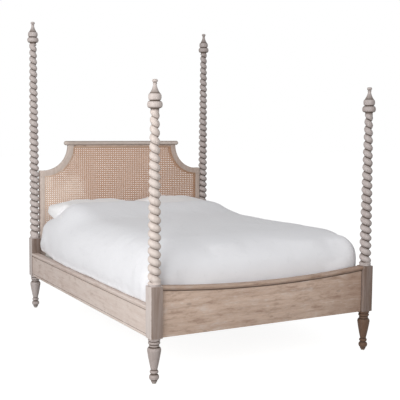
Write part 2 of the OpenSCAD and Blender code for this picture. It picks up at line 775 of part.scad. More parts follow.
// Slats across the ledgers and the centre rail
module slats() {
    color(raw_wood) for (i = [0 : slat_count - 1]) {
        y = slat_y0 + (slat_y1 - slat_y0) * i / (slat_count - 1);
        block_between([slat_gap - rail_in_x, y - slat_w / 2, ledger_z],
                      [rail_in_x - slat_gap, y + slat_w / 2, ledger_z + slat_t]);
    }
}

hanger_fit = 0.3;

// Rail under the middle of the slats
module centre_rail() {
    color(raw_wood)
        block_between([-centre_w / 2, fb_back_y + hanger_t + hanger_fit, ledger_z - centre_h],
                      [centre_w / 2, hb_front_y - hanger_t - hanger_fit, ledger_z]);
}

// Steel hangers on footboard and headboard that the centre rail drops into
module centre_hangers() {
    out = centre_w / 2 + hanger_fit + hanger_t;
    z0 = ledger_z - centre_h - hanger_t;
    color(steel) for (end = [foot, head]) {
        wall = end == foot ? fb_back_y : hb_front_y;
        translate([0, wall, 0]) mirror([0, end == foot ? 0 : 1, 0]) difference() {
            block_between([-out, 0, z0], [out, hanger_d, ledger_z]);
            block_between([hanger_t - out, hanger_t, z0 + hanger_t],
                          [out - hanger_t, hanger_d + 1, ledger_z + 1]);
        }
    }
}

stud_r = 5;
stud_l = 30;

// Turned leg under the middle of the centre rail
module centre_leg() {
    color(raw_wood) difference() {
        translate([0, 0, leveller_t])
            cylinder(r1 = leveller_r, r2 = mid_leg_r, h = ledger_z - centre_h - leveller_t);
        translate([0, 0, leveller_t - 1]) cylinder(r = stud_r + bore_fit, h = stud_l + 2);
    }
}

// Levelling foot with its stud
module centre_leveller() {
    color([0.2, 0.2, 0.2]) {
        cylinder(r = leveller_r, h = leveller_t);
        cylinder(r = stud_r, h = leveller_t + stud_l);
    }
}

mattress_z0 = ledger_z + slat_t + soft_fit;
mattress_z1 = mattress_z0 + mattress_t;
mattress_half_x = rail_in_x - mattress_side_gap;
mattress_y0 = fb_back_y + mattress_end_gap;
mattress_y1 = hb_front_y - mattress_end_gap;

// Mattress on the slats
module mattress() {
    r = mattress_r;
    w = 2 * mattress_half_x;
    l = mattress_y1 - mattress_y0;
    color(white) translate([-mattress_half_x, mattress_y0, mattress_z0]) linear_extrude(mattress_t) {
        translate([r, 0]) square([w - 2 * r, l]);
        translate([0, r]) square([w, l - 2 * r]);
        for (x = [r, w - r], y = [r, l - r]) translate([x, y]) circle(r = r);
    }
}

// Smooth step from 0 at a to 1 at b
function ease(a, b, v) = let (t = max(0, min(1, (v - a) / (b - a)))) t * t * (3 - 2 * t);

pillow_mid_y = hb_front_y - pillow_gap - pillow_d / 2 - pillow_lean / 2;
pillow_y0 = pillow_mid_y - pillow_d / 2;
pillow_half = (mattress_half_x - pillow_inset - pillow_split / 2) / 2;
pillow_mid_x = pillow_split / 2 + pillow_half;
pillow_z0 = mattress_z1 + soft_fit;

// Pillow: a crown that leans back, over sides drawn in between four soft corners
module pillow(side) {
    n = 36;
    // Share of the plan's size, and share of the height, of each ring
    levels = [[0.25, 0], [0.6, 0], [0.82, 0.03], [0.94, 0.12], [1, 0.27], [0.96, 0.42], [0.88, 0.56],
              [0.76, 0.7], [0.6, 0.83], [0.42, 0.93], [0.2, 0.99]];
    color(white) translate([side * pillow_mid_x, pillow_mid_y, pillow_z0])
        skin([for (l = levels) [for (i = [0 : n - 1])
            let (a = 360 * i / n,
                 pull = 1 - 0.05 * pow(cos(2 * a), 2) * l[0],
                 corner = pow(pow(abs(cos(a)), 5) + pow(abs(sin(a)), 5), -0.2))
            [pillow_half * corner * pull * cos(a) * l[0],
             pillow_d / 2 * corner * pull * sin(a) * l[0] + pillow_lean * l[1],
             pillow_h * l[1]]]]);
}

duvet_low = rail_cap_z1 + soft_fit;
duvet_y0 = mattress_y0 - duvet_foot;
duvet_y1 = hb_front_y - duvet_back;
duvet_a = mattress_half_x + duvet_side;

// Points round a rounded rectangle from x -a to a and y0 to y1, the same number on every ring
duvet_corner = 3;
duvet_short = 6;
duvet_long = 13;
function arc_points(x, y, r, from) =
    [for (i = [0 : duvet_corner]) let (t = from + 90 * i / duvet_corner) [x + r * cos(t), y + r * sin(t)]];
function line_points(p, q, n) = [for (i = [1 : n]) p + (q - p) * i / (n + 1)];
function rounded(a, y0, y1, r) = concat(
    arc_points(a - r, y1 - r, r, 0),
    line_points([a - r, y1], [r - a, y1], duvet_short),
    arc_points(r - a, y1 - r, r, 90),
    line_points([-a, y1 - r], [-a, y0 + r], duvet_long),
    arc_points(r - a, y0 + r, r, 180),
    line_points([r - a, y0], [a - r, y0], duvet_short),
    arc_points(a - r, y0 + r, r, 270),
    line_points([a, y0 + r], [a, y1 - r], duvet_long)
);

// The cover reaches further up the bed at its sides than over the pillows
function lapped(p) =
    let (edge = mattress_half_x - 10,
         share = ease(edge - duvet_lap_w, edge, abs(p.x)) * ease(0, duvet_y1, p.y))
    [p.x, p.y + duvet_lap * share];

// Height of the cover's upper face, and of its lower face, which clears mattress and pillows
function cover_top(p) =
    let (loft = duvet_loft * (0.91 + 0.09 * (1 - pow(abs(p.x) / duvet_a, 4))),
         brow = duvet_a - 20,
         rise = ease(pillow_y0 - duvet_slope, duvet_y1, p.y) * ease(brow, brow - duvet_fall, abs(p.x)))
    mattress_z1 + loft + (duvet_head_h - loft) * rise;
function cover_under(p) =
    let (low = mattress_z1 + soft_fit,
         lift = ease(pillow_y0 - 20, pillow_y0 + 90, p.y)
                * ease(mattress_half_x, mattress_half_x - 55, abs(p.x)))
    low + (cover_top(p) - duvet_thin - low) * lift;
// Height of the cover's edge: down on the rail caps, but up on the pillows at the head
function cover_rim(p) =
    let (lift = ease(duvet_a - 15, duvet_a - 100, abs(p.x)) * ease(duvet_y1 - 80, duvet_y1 - 5, p.y))
    duvet_low + (cover_under(p) - duvet_low) * lift;

// Puffy cover: a thick shell over mattress and pillows
module duvet() {
    // Insets in x and y and share of the height of each ring up the outside and across the top
    outside = [[22, 9, 0], [4, 2, 0.16], [0, 0, 0.38], [6, 4, 0.62], [24, 20, 0.82], [58, 54, 0.945],
               [100, 96, 0.985], [150, 150, 1], [220, 220, 1], [310, 310, 1], [420, 420, 1], [540, 540, 1],
               [660, 660, 1]];
    inside = [640, 500, 370, 250, 160, 90, 55, 30, 0];
    inner_a = mattress_half_x + soft_fit;
    inner_y0 = mattress_y0 - soft_fit;
    inner_y1 = duvet_y1 - 14;
    color(white) skin(concat(
        [for (d = inside)
            [for (q = rounded(inner_a - d, inner_y0 + d, inner_y1 - d, max(5, mattress_r / 2 - d)))
                let (p = lapped(q)) [p.x, p.y, cover_under(p)]]],
        [[for (q = rounded(inner_a, inner_y0, inner_y1, mattress_r / 2))
            let (p = lapped(q)) [p.x, p.y, min(cover_rim(p), cover_under(p) - 1)]]],
        [for (o = outside) [for (q = rounded(duvet_a - o[0], duvet_y0 + o[1], duvet_y1 - o[1],
                                             max(5, duvet_corner_r - o[0])))
            let (p = lapped(q), z0 = min(cover_rim(p), cover_under(p) - 1))
            [p.x, p.y, z0 + (cover_top(p) - z0) * o[2]]]]
    ));
}

post_base(left, foot);  // post_base_foot_left
post_base(right, foot);  // post_base_foot_right
post_base(left, head);  // post_base_head_left
post_base(right, head);  // post_base_head_right
twist_shaft(left, foot);  // twist_shaft_foot_left
twist_shaft(right, foot);  // twist_shaft_foot_right
twist_shaft(left, head);  // twist_shaft_head_left
twist_shaft(right, head);  // twist_shaft_head_right
finial(left, foot);  // finial_foot_left
finial(right, foot);  // finial_foot_right
finial(left, head);  // finial_head_left
finial(right, head);  // finial_head_right
shaft_rods();
finial_dowels();
floor_glides();
headboard_stile(left);  // headboard_stile_left
headboard_stile(right);  // headboard_stile_right
headboard_shoulder(left);  // headboard_shoulder_left
headboard_shoulder(right);  // headboard_shoulder_right
headboard_top_rail();
headboard_bottom_rail();
headboard_cap();
cane_panel();
cane_spline();
headboard_dowels();
headboard_bolts();
footboard_panel();
footboard_cap();
side_rail(left);  // side_rail_left
side_rail(right);  // side_rail_right
rail_cap(left);  // rail_cap_left
rail_cap(right);  // rail_cap_right
rail_hooks();
post_catches();
slat_ledger(left);  // slat_ledger_left
slat_ledger(right);  // slat_ledger_right
slats();
centre_rail();
centre_hangers();
centre_leg();
centre_leveller();
mattress();
duvet();
pillow(left);  // pillow_left
pillow(right);  // pillow_right
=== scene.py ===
# Four-poster bed in limed wood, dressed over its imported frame

import math
from collections import namedtuple

import bmesh
import bpy
from mathutils import Matrix, Vector, noise


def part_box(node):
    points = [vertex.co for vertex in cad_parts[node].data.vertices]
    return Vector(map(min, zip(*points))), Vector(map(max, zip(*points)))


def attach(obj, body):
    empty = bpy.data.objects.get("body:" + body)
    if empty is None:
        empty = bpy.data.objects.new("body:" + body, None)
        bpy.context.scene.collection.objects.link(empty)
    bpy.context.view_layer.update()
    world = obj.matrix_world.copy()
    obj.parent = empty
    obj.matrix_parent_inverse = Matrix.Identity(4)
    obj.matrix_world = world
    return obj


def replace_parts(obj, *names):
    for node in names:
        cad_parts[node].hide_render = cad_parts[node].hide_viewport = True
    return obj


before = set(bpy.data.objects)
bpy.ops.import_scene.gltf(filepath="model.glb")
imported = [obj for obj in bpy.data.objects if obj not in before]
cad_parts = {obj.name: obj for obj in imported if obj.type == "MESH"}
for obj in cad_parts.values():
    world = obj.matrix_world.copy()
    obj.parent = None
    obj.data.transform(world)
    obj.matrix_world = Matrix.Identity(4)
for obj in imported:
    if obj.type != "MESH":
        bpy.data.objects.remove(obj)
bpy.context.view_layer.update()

MM = 0.001
FULL_TURN = 2 * math.pi
SIDES = {"left": -1, "right": 1}
ENDS = {"foot": -1, "head": 1}
POSTS = [(end, side) for end in ENDS for side in SIDES]

# Camera

CAMERA_PLACE = (-2.645, -4.999, 1.416)
CAMERA_YAW = -0.50660
CAMERA_DROP = 0.09065
CAMERA_ROLL = 0.00810
CAMERA_LENS = 73.03


def stand_camera():
    data = bpy.data.cameras.new("camera")
    data.sensor_width = 36
    data.lens = CAMERA_LENS
    camera = bpy.data.objects.new("camera", data)
    turn = (Matrix.Rotation(CAMERA_YAW, 4, "Z") @ Matrix.Rotation(math.pi / 2 - CAMERA_DROP, 4, "X")
            @ Matrix.Rotation(CAMERA_ROLL, 4, "Z"))
    camera.matrix_world = Matrix.Translation(CAMERA_PLACE) @ turn
    bpy.context.scene.collection.objects.link(camera)
    bpy.context.scene.camera = camera


stand_camera()

# Shader sums written as Python


class Wire:
    """An output socket that sums, differences and products can be written on."""

    def __init__(self, finish, socket):
        self.finish = finish
        self.socket = socket

    def _math(self, operation, other):
        return self.finish.node("ShaderNodeMath", {"operation": operation}, {0: self, 1: other})

    def __add__(self, other):
        return self._math("ADD", other)

    def __sub__(self, other):
        return self._math("SUBTRACT", other)

    def __mul__(self, other):
        return self._math("MULTIPLY", other)


class Finish:
    """A material and the nodes that its pattern is made of."""

    def __init__(self, name):
        self.material = bpy.data.materials.new(name)
        self.material.use_nodes = True
        self.tree = self.material.node_tree
        self.shader = self.tree.nodes["Principled BSDF"]
        self.place = self.node("ShaderNodeTexCoord", output="Object")

    def node(self, kind, settings=None, values=None, output=0):
        made = self.tree.nodes.new(kind)
        for name, value in (settings or {}).items():
            setattr(made, name, value)
        for name, value in (values or {}).items():
            self._feed(made.inputs[name], value)
        return Wire(self, made.outputs[output])

    def _feed(self, socket, value):
        if isinstance(value, Wire):
            self.tree.links.new(value.socket, socket)
        else:
            socket.default_value = value

    def vector(self, operation, first, second, output=0):
        return self.node("ShaderNodeVectorMath", {"operation": operation}, {0: first, 1: second}, output)

    def stretched(self, place, scale):
        return self.vector("MULTIPLY", place, scale)

    def scaled(self, place, amount):
        return self.node("ShaderNodeVectorMath", {"operation": "SCALE"}, {0: place, "Scale": amount})

    def sine(self, value):
        return self.node("ShaderNodeMath", {"operation": "SINE"}, {0: value})

    def noise(self, place, scale, detail=3.0, roughness=0.5, distortion=0.0):
        values = {"Vector": place, "Scale": scale, "Detail": detail, "Roughness": roughness,
                  "Distortion": distortion}
        return self.node("ShaderNodeTexNoise", None, values)

    def attribute(self, name):
        return self.node("ShaderNodeAttribute", {"attribute_name": name}, None, "Fac")

    def ranged(self, value, low, high, to_low=0.0, to_high=1.0):
        return self.node("ShaderNodeMapRange", {"interpolation_type": "SMOOTHSTEP"},
                         {"Value": value, "From Min": low, "From Max": high, "To Min": to_low,
                          "To Max": to_high})

    def mix(self, first, second, amount):
        """First colour where amount is 0, second where it is 1."""
        return self.node("ShaderNodeMix", {"data_type": "RGBA"},
                         {"Factor": amount, MIX_FIRST: first, MIX_SECOND: second}, MIX_RESULT)

    def split(self, place):
        first = self.node("ShaderNodeSeparateXYZ", None, {0: place})
        return [Wire(self, socket) for socket in first.socket.node.outputs]

    def bump(self, height, strength, distance, under=None):
        values = {"Height": height, "Strength": strength, "Distance": distance}
        if under:
            values["Normal"] = under
        return self.node("ShaderNodeBump", None, values, "Normal")

    def set(self, **values):
        """Sockets of the shader by name, an underline standing for a space."""
        for name, value in values.items():
            self._feed(self.shader.inputs[name.replace("_", " ")], value)
        return self.material


MIX_FIRST = 6
MIX_SECOND = 7
MIX_RESULT = 2


def paint(red, green, blue):
    return (red, green, blue, 1.0)


# Woods

GRAIN_STRETCH = 0.055
MOTTLE_STRETCH = 0.3
KNOT_STRETCH = 0.45
BOARD_STEP = (0.37, 0.73, 0.53)
RING_WAVER = (0.02, 0.02, 0.02)
PITH = {"X": (0.0, 0.045, 0.012), "Y": (0.045, 0.0, 0.012), "Z": (0.045, 0.012, 0.0)}


def lengthwise(axis, share):
    """Scale that draws a pattern out along one axis."""
    return [share if name == axis else 1 for name in "XYZ"]


def grain(finish, axis):
    """Growth rings, streaks and fibres of a board whose grain runs along axis, each from 0 to 1."""
    place = finish.vector("ADD", finish.place, finish.scaled(BOARD_STEP, finish.attribute("board")))
    along = finish.stretched(place, lengthwise(axis, GRAIN_STRETCH))
    bent = finish.vector("ADD", along, finish.scaled(RING_WAVER, finish.noise(along, 9.0, 2.0)))
    rings = finish.node("ShaderNodeTexWave", {"wave_type": "RINGS", "rings_direction": axis,
                                              "wave_profile": "SAW"},
                        {"Vector": finish.vector("ADD", bent, PITH[axis]), "Scale": 38.0, "Distortion": 3.2,
                         "Detail": 3.0, "Detail Scale": 1.6, "Detail Roughness": 0.55}, "Fac")
    streaks = finish.noise(bent, 55.0, 4.0, 0.6)
    fibres = finish.noise(along, 620.0, 3.0, 0.65)
    return place, rings, streaks, fibres


def limed_wood(name, axis, pale, tan, deep, mottle=0.3, knots=(), painted_shade_right=0.0):
    """Open-grained wood under a lime wash rubbed thin: white lime in the pores, darker hollows from dirt and
    painted shade, bare rubbed edges, paler and browner patches that partly paint light and shade, and painted
    shade towards the right where asked.
    """
    finish = Finish(name)
    place, rings, streaks, fibres = grain(finish, axis)
    patches = finish.ranged(finish.noise(place, 5.5, 3.0, 0.6), 0.34, 0.68)
    colour = finish.mix(pale, tan, finish.ranged(streaks, 0.36, 0.72))
    colour = finish.mix(colour, tan, rings * 0.34)
    colour = finish.mix(colour, deep, finish.ranged(streaks, 0.6, 0.86) * 0.5)
    colour = finish.mix(colour, CHALK, finish.ranged(fibres, 0.53, 0.7) * 0.4)
    colour = finish.mix(colour, deep, finish.ranged(fibres, 0.45, 0.33) * 0.28)
    colour = finish.mix(colour, tan, patches * 0.25)
    blotches = finish.noise(finish.stretched(place, lengthwise(axis, MOTTLE_STRETCH)), 34.0, 4.0, 0.65)
    colour = finish.mix(colour, deep, finish.ranged(blotches, 0.5, 0.72) * mottle)
    colour = finish.mix(colour, CHALK, finish.ranged(blotches, 0.46, 0.28) * mottle * 0.6)
    # Painted shade: darker towards the right, away from the light.
    if painted_shade_right:
        rightwards = finish.split(finish.place)[0] + (blotches - 0.5) * 0.6
        colour = finish.mix(colour, deep, finish.ranged(rightwards, 0.2, 0.75) * painted_shade_right)
    for spot, size, strength in knots:
        colour = knot(finish, colour, spot, size, strength, axis)
    # Painted light, with real lime: paler by the level read here, most on the lit left posts and the rails'
    # front halves.
    lime_and_light_share = finish.attribute("chalk") * finish.ranged(streaks, 0.3, 0.8, 1.0, 0.7)
    colour = finish.mix(colour, PALE_LIME_AND_LIGHT, lime_and_light_share)
    # Browner where the brown level is set: tone on some boards, painted shade on the right-hand posts and
    # headboard, the blocks' faces along the bed and the head cap's top edge.
    brown_share = finish.attribute("brown") * finish.ranged(streaks, 0.36, 0.64, 1.0, 0.72)
    colour = finish.mix(colour, finish.vector("MULTIPLY", colour, BROWN_TONE_AND_SHADE), brown_share)
    # Painted shade, with some dirt: darker in the grooves, quirks, joints and cap undersides that the hollow
    # level marks.
    hollow = finish.attribute("hollow")
    colour = finish.mix(colour, HOLLOW_SHADE_AND_DIRT, finish.ranged(hollow, 0.1, 0.85) * 0.88)
    rubbed = finish.attribute("edge") * finish.ranged(finish.noise(place, 34.0, 3.0), 0.36, 0.56)
    colour = finish.mix(colour, RUBBED, rubbed * 0.5)
    relief = fibres * 0.6 + streaks * 0.4
    return finish.set(Base_Color=colour, Roughness=finish.ranged(fibres, 0.3, 0.7, 0.52, 0.68),
                      Normal=finish.bump(relief, 0.35, 0.0005), Specular_IOR_Level=0.35)


def knot(finish, colour, spot, size, strength, axis):
    """Dark oval of a knot, longer along the grain, with a paler eye."""
    offset = finish.vector("SUBTRACT", finish.place, spot)
    offset = finish.stretched(offset, lengthwise(axis, KNOT_STRETCH))
    far = finish.vector("LENGTH", offset, (0, 0, 0), "Value")
    ragged = far + finish.noise(finish.place, 160.0, 2.0) * size * 0.5
    return finish.mix(colour, KNOT_HEART, finish.ranged(ragged, size * 1.45, size * 0.7) * strength)


CHALK = paint(0.74, 0.70, 0.68)
# Lime colour, also used as painted light.
PALE_LIME_AND_LIGHT = paint(0.80, 0.70, 0.635)
# Colour that browning multiplies by: tone and painted shade.
BROWN_TONE_AND_SHADE = (0.25, 0.16, 0.105)
# Colour of dirt and painted shade in hollows.
HOLLOW_SHADE_AND_DIRT = paint(0.10, 0.068, 0.050)
RUBBED = paint(0.30, 0.21, 0.15)
KNOT_HEART = paint(0.20, 0.14, 0.10)

FOOTBOARD_KNOTS = [((-0.532, -1.076, 0.427), 0.009, 0.4), ((-0.43, -1.076, 0.262), 0.007, 0.4),
                   ((0.18, -1.076, 0.345), 0.008, 0.3), ((0.52, -1.076, 0.405), 0.009, 0.35)]

POST_WOOD = limed_wood("post_wood", "Z", paint(0.60, 0.545, 0.53), paint(0.47, 0.405, 0.385),
                       paint(0.30, 0.24, 0.215))
STILE_WOOD = limed_wood("stile_wood", "Z", paint(0.62, 0.52, 0.46), paint(0.49, 0.38, 0.32),
                        paint(0.30, 0.22, 0.17))
STILE_ACROSS = limed_wood("stile_across", "X", paint(0.60, 0.53, 0.485), paint(0.48, 0.40, 0.345),
                          paint(0.30, 0.22, 0.17))
RAIL_WOOD = limed_wood("rail_wood", "Y", paint(0.66, 0.565, 0.515), paint(0.55, 0.435, 0.38),
                       paint(0.36, 0.25, 0.20), 0.7)
# The footboard's wood, with painted shade towards its right end.
BOARD_WOOD = limed_wood("board_wood", "X", paint(0.66, 0.50, 0.40), paint(0.50, 0.36, 0.28),
                        paint(0.28, 0.17, 0.12), 0.55, FOOTBOARD_KNOTS, 0.55)


def bare_wood(name, axis):
    """Planed beech with short flecks, as used where nobody looks."""
    finish = Finish(name)
    place, rings, streaks, fibres = grain(finish, axis)
    flecks = finish.noise(finish.stretched(place, lengthwise(axis, GRAIN_STRETCH)), 260.0, 1.0)
    colour = finish.mix(paint(0.62, 0.45, 0.29), paint(0.50, 0.34, 0.20), finish.ranged(streaks, 0.3, 0.75))
    colour = finish.mix(colour, paint(0.44, 0.29, 0.17), rings * 0.3)
    colour = finish.mix(colour, paint(0.36, 0.22, 0.12), finish.ranged(flecks, 0.62, 0.72) * 0.5)
    return finish.set(Base_Color=colour, Roughness=finish.ranged(fibres, 0.3, 0.7, 0.55, 0.72),
                      Normal=finish.bump(fibres, 0.3, 0.0004))


BEECH_ACROSS = bare_wood("beech_across", "X")
BEECH_ALONG = bare_wood("beech_along", "Y")
BEECH_UPRIGHT = bare_wood("beech_upright", "Z")

# Cane, metal and plastic


def split_cane(name, light, dark, shade_right):
    """Glossy rattan skin with fine lengthwise streaks and nodes, paler to the left as painted light and
    darker to the right as painted shade.
    """
    finish = Finish(name)
    blotch = finish.noise(finish.place, 4.5, 3.0, 0.6)
    strand = finish.noise(finish.place, 210.0, 2.0)
    speck = finish.noise(finish.place, 900.0, 2.0)
    colour = finish.mix(light, dark, finish.ranged(strand, 0.3, 0.7))
    across = finish.split(finish.place)[0] + (blotch - 0.5) * 0.9
    # Painted light to the left, painted shade to the right.
    colour = finish.mix(colour, CANE_LIT_PALE, finish.ranged(across, -0.25, -0.62) * 0.75)
    colour = finish.mix(colour, CANE_DEEP, finish.ranged(across, -0.05, 0.62) * shade_right)
    colour = finish.mix(colour, CANE_DEEP, finish.ranged(speck, 0.6, 0.8) * 0.3)
    return finish.set(Base_Color=colour, Roughness=finish.ranged(strand, 0.3, 0.7, 0.36, 0.5),
                      Normal=finish.bump(speck, 0.25, 0.0003))


# Dark cane colour, for specks and for the painted shade to the right.
CANE_DEEP = paint(0.34, 0.19, 0.11)
# Painted light: the pale colour of the cane's left side.
CANE_LIT_PALE = paint(0.82, 0.64, 0.52)
CANE = split_cane("cane", paint(0.62, 0.39, 0.27), paint(0.48, 0.285, 0.19), 0.45)
REED = split_cane("reed", paint(0.56, 0.38, 0.27), paint(0.44, 0.285, 0.195), 0.8)


def zinc_steel():
    """Dull zinc-plated steel with a cloudy spangle and fine scratches."""
    finish = Finish("steel")
    cloud = finish.noise(finish.place, 60.0, 3.0)
    scratches = finish.noise(finish.stretched(finish.place, (1, 1, 0.08)), 900.0, 2.0)
    colour = finish.mix(paint(0.52, 0.53, 0.55), paint(0.38, 0.39, 0.41), finish.ranged(cloud, 0.35, 0.7))
    rough = finish.ranged(cloud, 0.3, 0.7, 0.32, 0.46) + finish.ranged(scratches, 0.6, 0.7) * 0.12
    return finish.set(Base_Color=colour, Metallic=1.0, Roughness=rough,
                      Normal=finish.bump(scratches, 0.15, 0.0002))


def moulded_plastic(name, light, dark, roughness):
    """Injection-moulded plastic with a fine sparked grain and scuffs."""
    finish = Finish(name)
    spark = finish.noise(finish.place, 1400.0, 2.0)
    scuff = finish.noise(finish.place, 90.0, 3.0)
    colour = finish.mix(light, dark, finish.ranged(scuff, 0.4, 0.7))
    return finish.set(Base_Color=colour,
                      Roughness=finish.ranged(scuff, 0.3, 0.7, roughness - 0.06, roughness + 0.08),
                      Normal=finish.bump(spark, 0.2, 0.0002))


STEEL = zinc_steel()
NYLON = moulded_plastic("nylon", paint(0.62, 0.60, 0.55), paint(0.52, 0.50, 0.46), 0.42)
BLACK_PLASTIC = moulded_plastic("black_plastic", paint(0.025, 0.025, 0.026), paint(0.045, 0.044, 0.043), 0.48)

# Cloth


def white_cotton(name, shade):
    """Washed white cotton: fine plain weave, slubs, and a soft crumple."""
    finish = Finish(name)
    across, along, up = finish.split(finish.place)
    weave = finish.sine(across * THREADS) + finish.sine(along * THREADS) + finish.sine(up * THREADS)
    slub = finish.noise(finish.stretched(finish.place, (1, 0.12, 1)), 420.0, 2.0)
    crumple = finish.noise(finish.place, 26.0, 4.0, 0.55, 0.6)
    rumple = finish.noise(finish.place, 7.0, 2.0, 0.5, 0.8)
    colour = finish.mix(shade, COTTON_SHADE, finish.ranged(slub, 0.55, 0.75) * 0.25)
    colour = finish.mix(colour, COTTON_SHADE, finish.ranged(crumple, 0.56, 0.75) * 0.2)
    broad = finish.bump(rumple, 0.35, 0.012)
    soft = finish.bump(crumple, 0.22, 0.004, broad)
    return finish.set(Base_Color=colour, Roughness=finish.ranged(slub, 0.3, 0.7, 0.82, 0.92),
                      Normal=finish.bump(weave * 0.3 + slub, 0.12, 0.0006, soft),
                      Sheen_Weight=0.12, Sheen_Roughness=0.5, Specular_IOR_Level=0.2)


THREADS = 5200.0
COTTON_SHADE = paint(0.74, 0.745, 0.76)
DUVET_COTTON = white_cotton("duvet_cotton", paint(0.885, 0.885, 0.912))
# A whiter copy of the cover's cotton, partly painted light on the lit pillows.
PILLOW_COTTON = white_cotton("pillow_cotton", paint(0.95, 0.94, 0.945))


def mattress_ticking():
    """Off-white damask ticking with a woven stripe and quilted waves."""
    finish = Finish("mattress_ticking")
    across, _, up = finish.split(finish.place)
    stripe = finish.sine(across * STRIPES + up * STRIPES)
    thread = finish.noise(finish.stretched(finish.place, (1, 0.1, 1)), 700.0, 2.0)
    colour = finish.mix(paint(0.78, 0.765, 0.73), paint(0.69, 0.675, 0.64), finish.ranged(stripe, -0.2, 0.4))
    colour = finish.mix(colour, paint(0.60, 0.59, 0.56), finish.ranged(thread, 0.55, 0.75) * 0.3)
    return finish.set(Base_Color=colour, Roughness=finish.ranged(thread, 0.3, 0.7, 0.7, 0.85),
                      Normal=finish.bump(thread + finish.ranged(stripe, -0.5, 0.5), 0.25, 0.0008),
                      Sheen_Weight=0.1)


STRIPES = 360.0
TICKING = mattress_ticking()

# Making pieces


def shown(name, form, finish, slot, *nodes, sharp=38):
    """A finished piece that stands for these nodes of the frame."""
    mesh = bpy.data.meshes.new(name)
    form.to_mesh(mesh)
    form.free()
    made = bpy.data.objects.new(name, mesh)
    bpy.context.scene.collection.objects.link(made)
    mesh.materials.append(finish)
    mesh.shade_smooth()
    mesh.set_sharp_from_angle(angle=math.radians(sharp))
    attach(made, "root")
    if nodes:
        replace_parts(made, *nodes)
    return made


def add(form, other):
    """Puts a second form into the first."""
    carrier = bpy.data.meshes.new("carrier")
    other.to_mesh(carrier)
    other.free()
    form.from_mesh(carrier)
    bpy.data.meshes.remove(carrier)
    return form


def evaluated(made):
    """The mesh of a piece as its modifiers leave it now."""
    ready = made.evaluated_get(bpy.context.evaluated_depsgraph_get())
    return bpy.data.meshes.new_from_object(ready)


def repeated(form, offset, count):
    """The same form count times over, each an offset further on."""
    mesh = bpy.data.meshes.new("pattern")
    form.to_mesh(mesh)
    carrier = bpy.data.objects.new("pattern", mesh)
    bpy.context.scene.collection.objects.link(carrier)
    row = carrier.modifiers.new("row", "ARRAY")
    row.use_relative_offset = False
    row.use_constant_offset = True
    row.constant_offset_displace = offset
    row.count = count
    many = evaluated(carrier)
    form.clear()
    form.from_mesh(many)
    bpy.data.objects.remove(carrier)
    bpy.data.meshes.remove(mesh)
    bpy.data.meshes.remove(many)
    return form


def level(form, name):
    """One of the wood's levels: board, chalk, brown, hollow or edge."""
    return form.verts.layers.float.get(name) or form.verts.layers.float.new(name)


def close(form):
    """Joins loose ends, fills open rims and turns every face outwards."""
    bmesh.ops.remove_doubles(form, verts=form.verts, dist=0.01 * MM)
    rims = [edge for edge in form.edges if edge.is_boundary or edge.is_wire]
    if rims:
        bmesh.ops.holes_fill(form, edges=rims, sides=0)
    bmesh.ops.recalc_face_normals(form, faces=form.faces)
    return form


def number_boards(form, first):
    """Gives each separate board its own number, so that no two share their figure."""
    board = level(form, "board")
    left_over = set(form.verts)
    number = first
    while left_over:
        found = [left_over.pop()]
        for vert in found:
            vert[board] = number
            for edge in vert.link_edges:
                other = edge.other_vert(vert)
                if other in left_over:
                    left_over.discard(other)
                    found.append(other)
        number += 1.31
    return form


def round_edges(form, width, over=40, steps=2):
    """Softens the edges whose faces meet at more than this angle, and marks them as rubbed."""
    edge_wear = level(form, "edge")
    sharp = [edge for edge in form.edges
             if edge.is_manifold and edge.calc_face_angle(0) > math.radians(over)]
    made = bmesh.ops.bevel(form, geom=sharp, offset=width, offset_type="OFFSET", segments=steps, profile=0.5,
                           affect="EDGES", clamp_overlap=True, material=-1)
    fresh = set(made["faces"])
    for vert in made["verts"]:
        if vert.is_valid and all(face in fresh for face in vert.link_faces):
            vert[edge_wear] = 1.0
    return form


def bead(z0, z1, radius, bulge, steps=14):
    """Half-round moulding between two heights, as (radius, height) points."""
    return [(radius + bulge * math.sin(math.pi * i / steps),
             z0 + (z1 - z0) * (1 - math.cos(math.pi * i / steps)) / 2) for i in range(steps + 1)]


def bowed(z0, r0, z1, r1, bow, steps=10):
    """Line between two radii, bowed outwards, or hollow where bow is negative."""
    return [(r0 + (r1 - r0) * i / steps + bow * math.sin(math.pi * i / steps),
             z0 + (z1 - z0) * i / steps) for i in range(steps + 1)]


def turned(profile, place, segments=64):
    """Lathe work from (radius, height) points in millimetres, its grooves marked as hollow for painted shade
    and dirt.
    """
    form = bmesh.new()
    hollow = level(form, "hollow")
    line = [form.verts.new((radius * MM, 0, height * MM)) for radius, height in profile]
    for vert in line:
        near = [other.co.x for other in line if abs(other.co.z - vert.co.z) < HOLLOW_REACH]
        vert[hollow] = min(1.0, (max(near) - vert.co.x) / HOLLOW_DEPTH) if vert.co.x > 0 else 0.0
    edges = [form.edges.new(pair) for pair in zip(line, line[1:])]
    bmesh.ops.spin(form, geom=line + edges, cent=(0, 0, 0), axis=(0, 0, 1), angle=FULL_TURN, steps=segments,
                   use_merge=True)
    close(form)
    bmesh.ops.translate(form, verts=form.verts, vec=place)
    return form


HOLLOW_REACH = 7 * MM
HOLLOW_DEPTH = 8 * MM
FLAT_ANGLE = math.radians(0.6)


def swept(outline, run):
    """A closed outline of points carried along run, as a planed or moulded board."""
    form = bmesh.new()
    face = form.faces.new([form.verts.new(point) for point in outline])
    made = bmesh.ops.extrude_face_region(form, geom=[face])
    bmesh.ops.translate(form, verts=[part for part in made["geom"] if isinstance(part, bmesh.types.BMVert)],
                        vec=run)
    return close(form)


def own_shape(node):
    """A merged copy of a frame node's own shape."""
    form = bmesh.new()
    form.from_mesh(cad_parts[node].data)
    bmesh.ops.remove_doubles(form, verts=form.verts, dist=0.02 * MM)
    return form


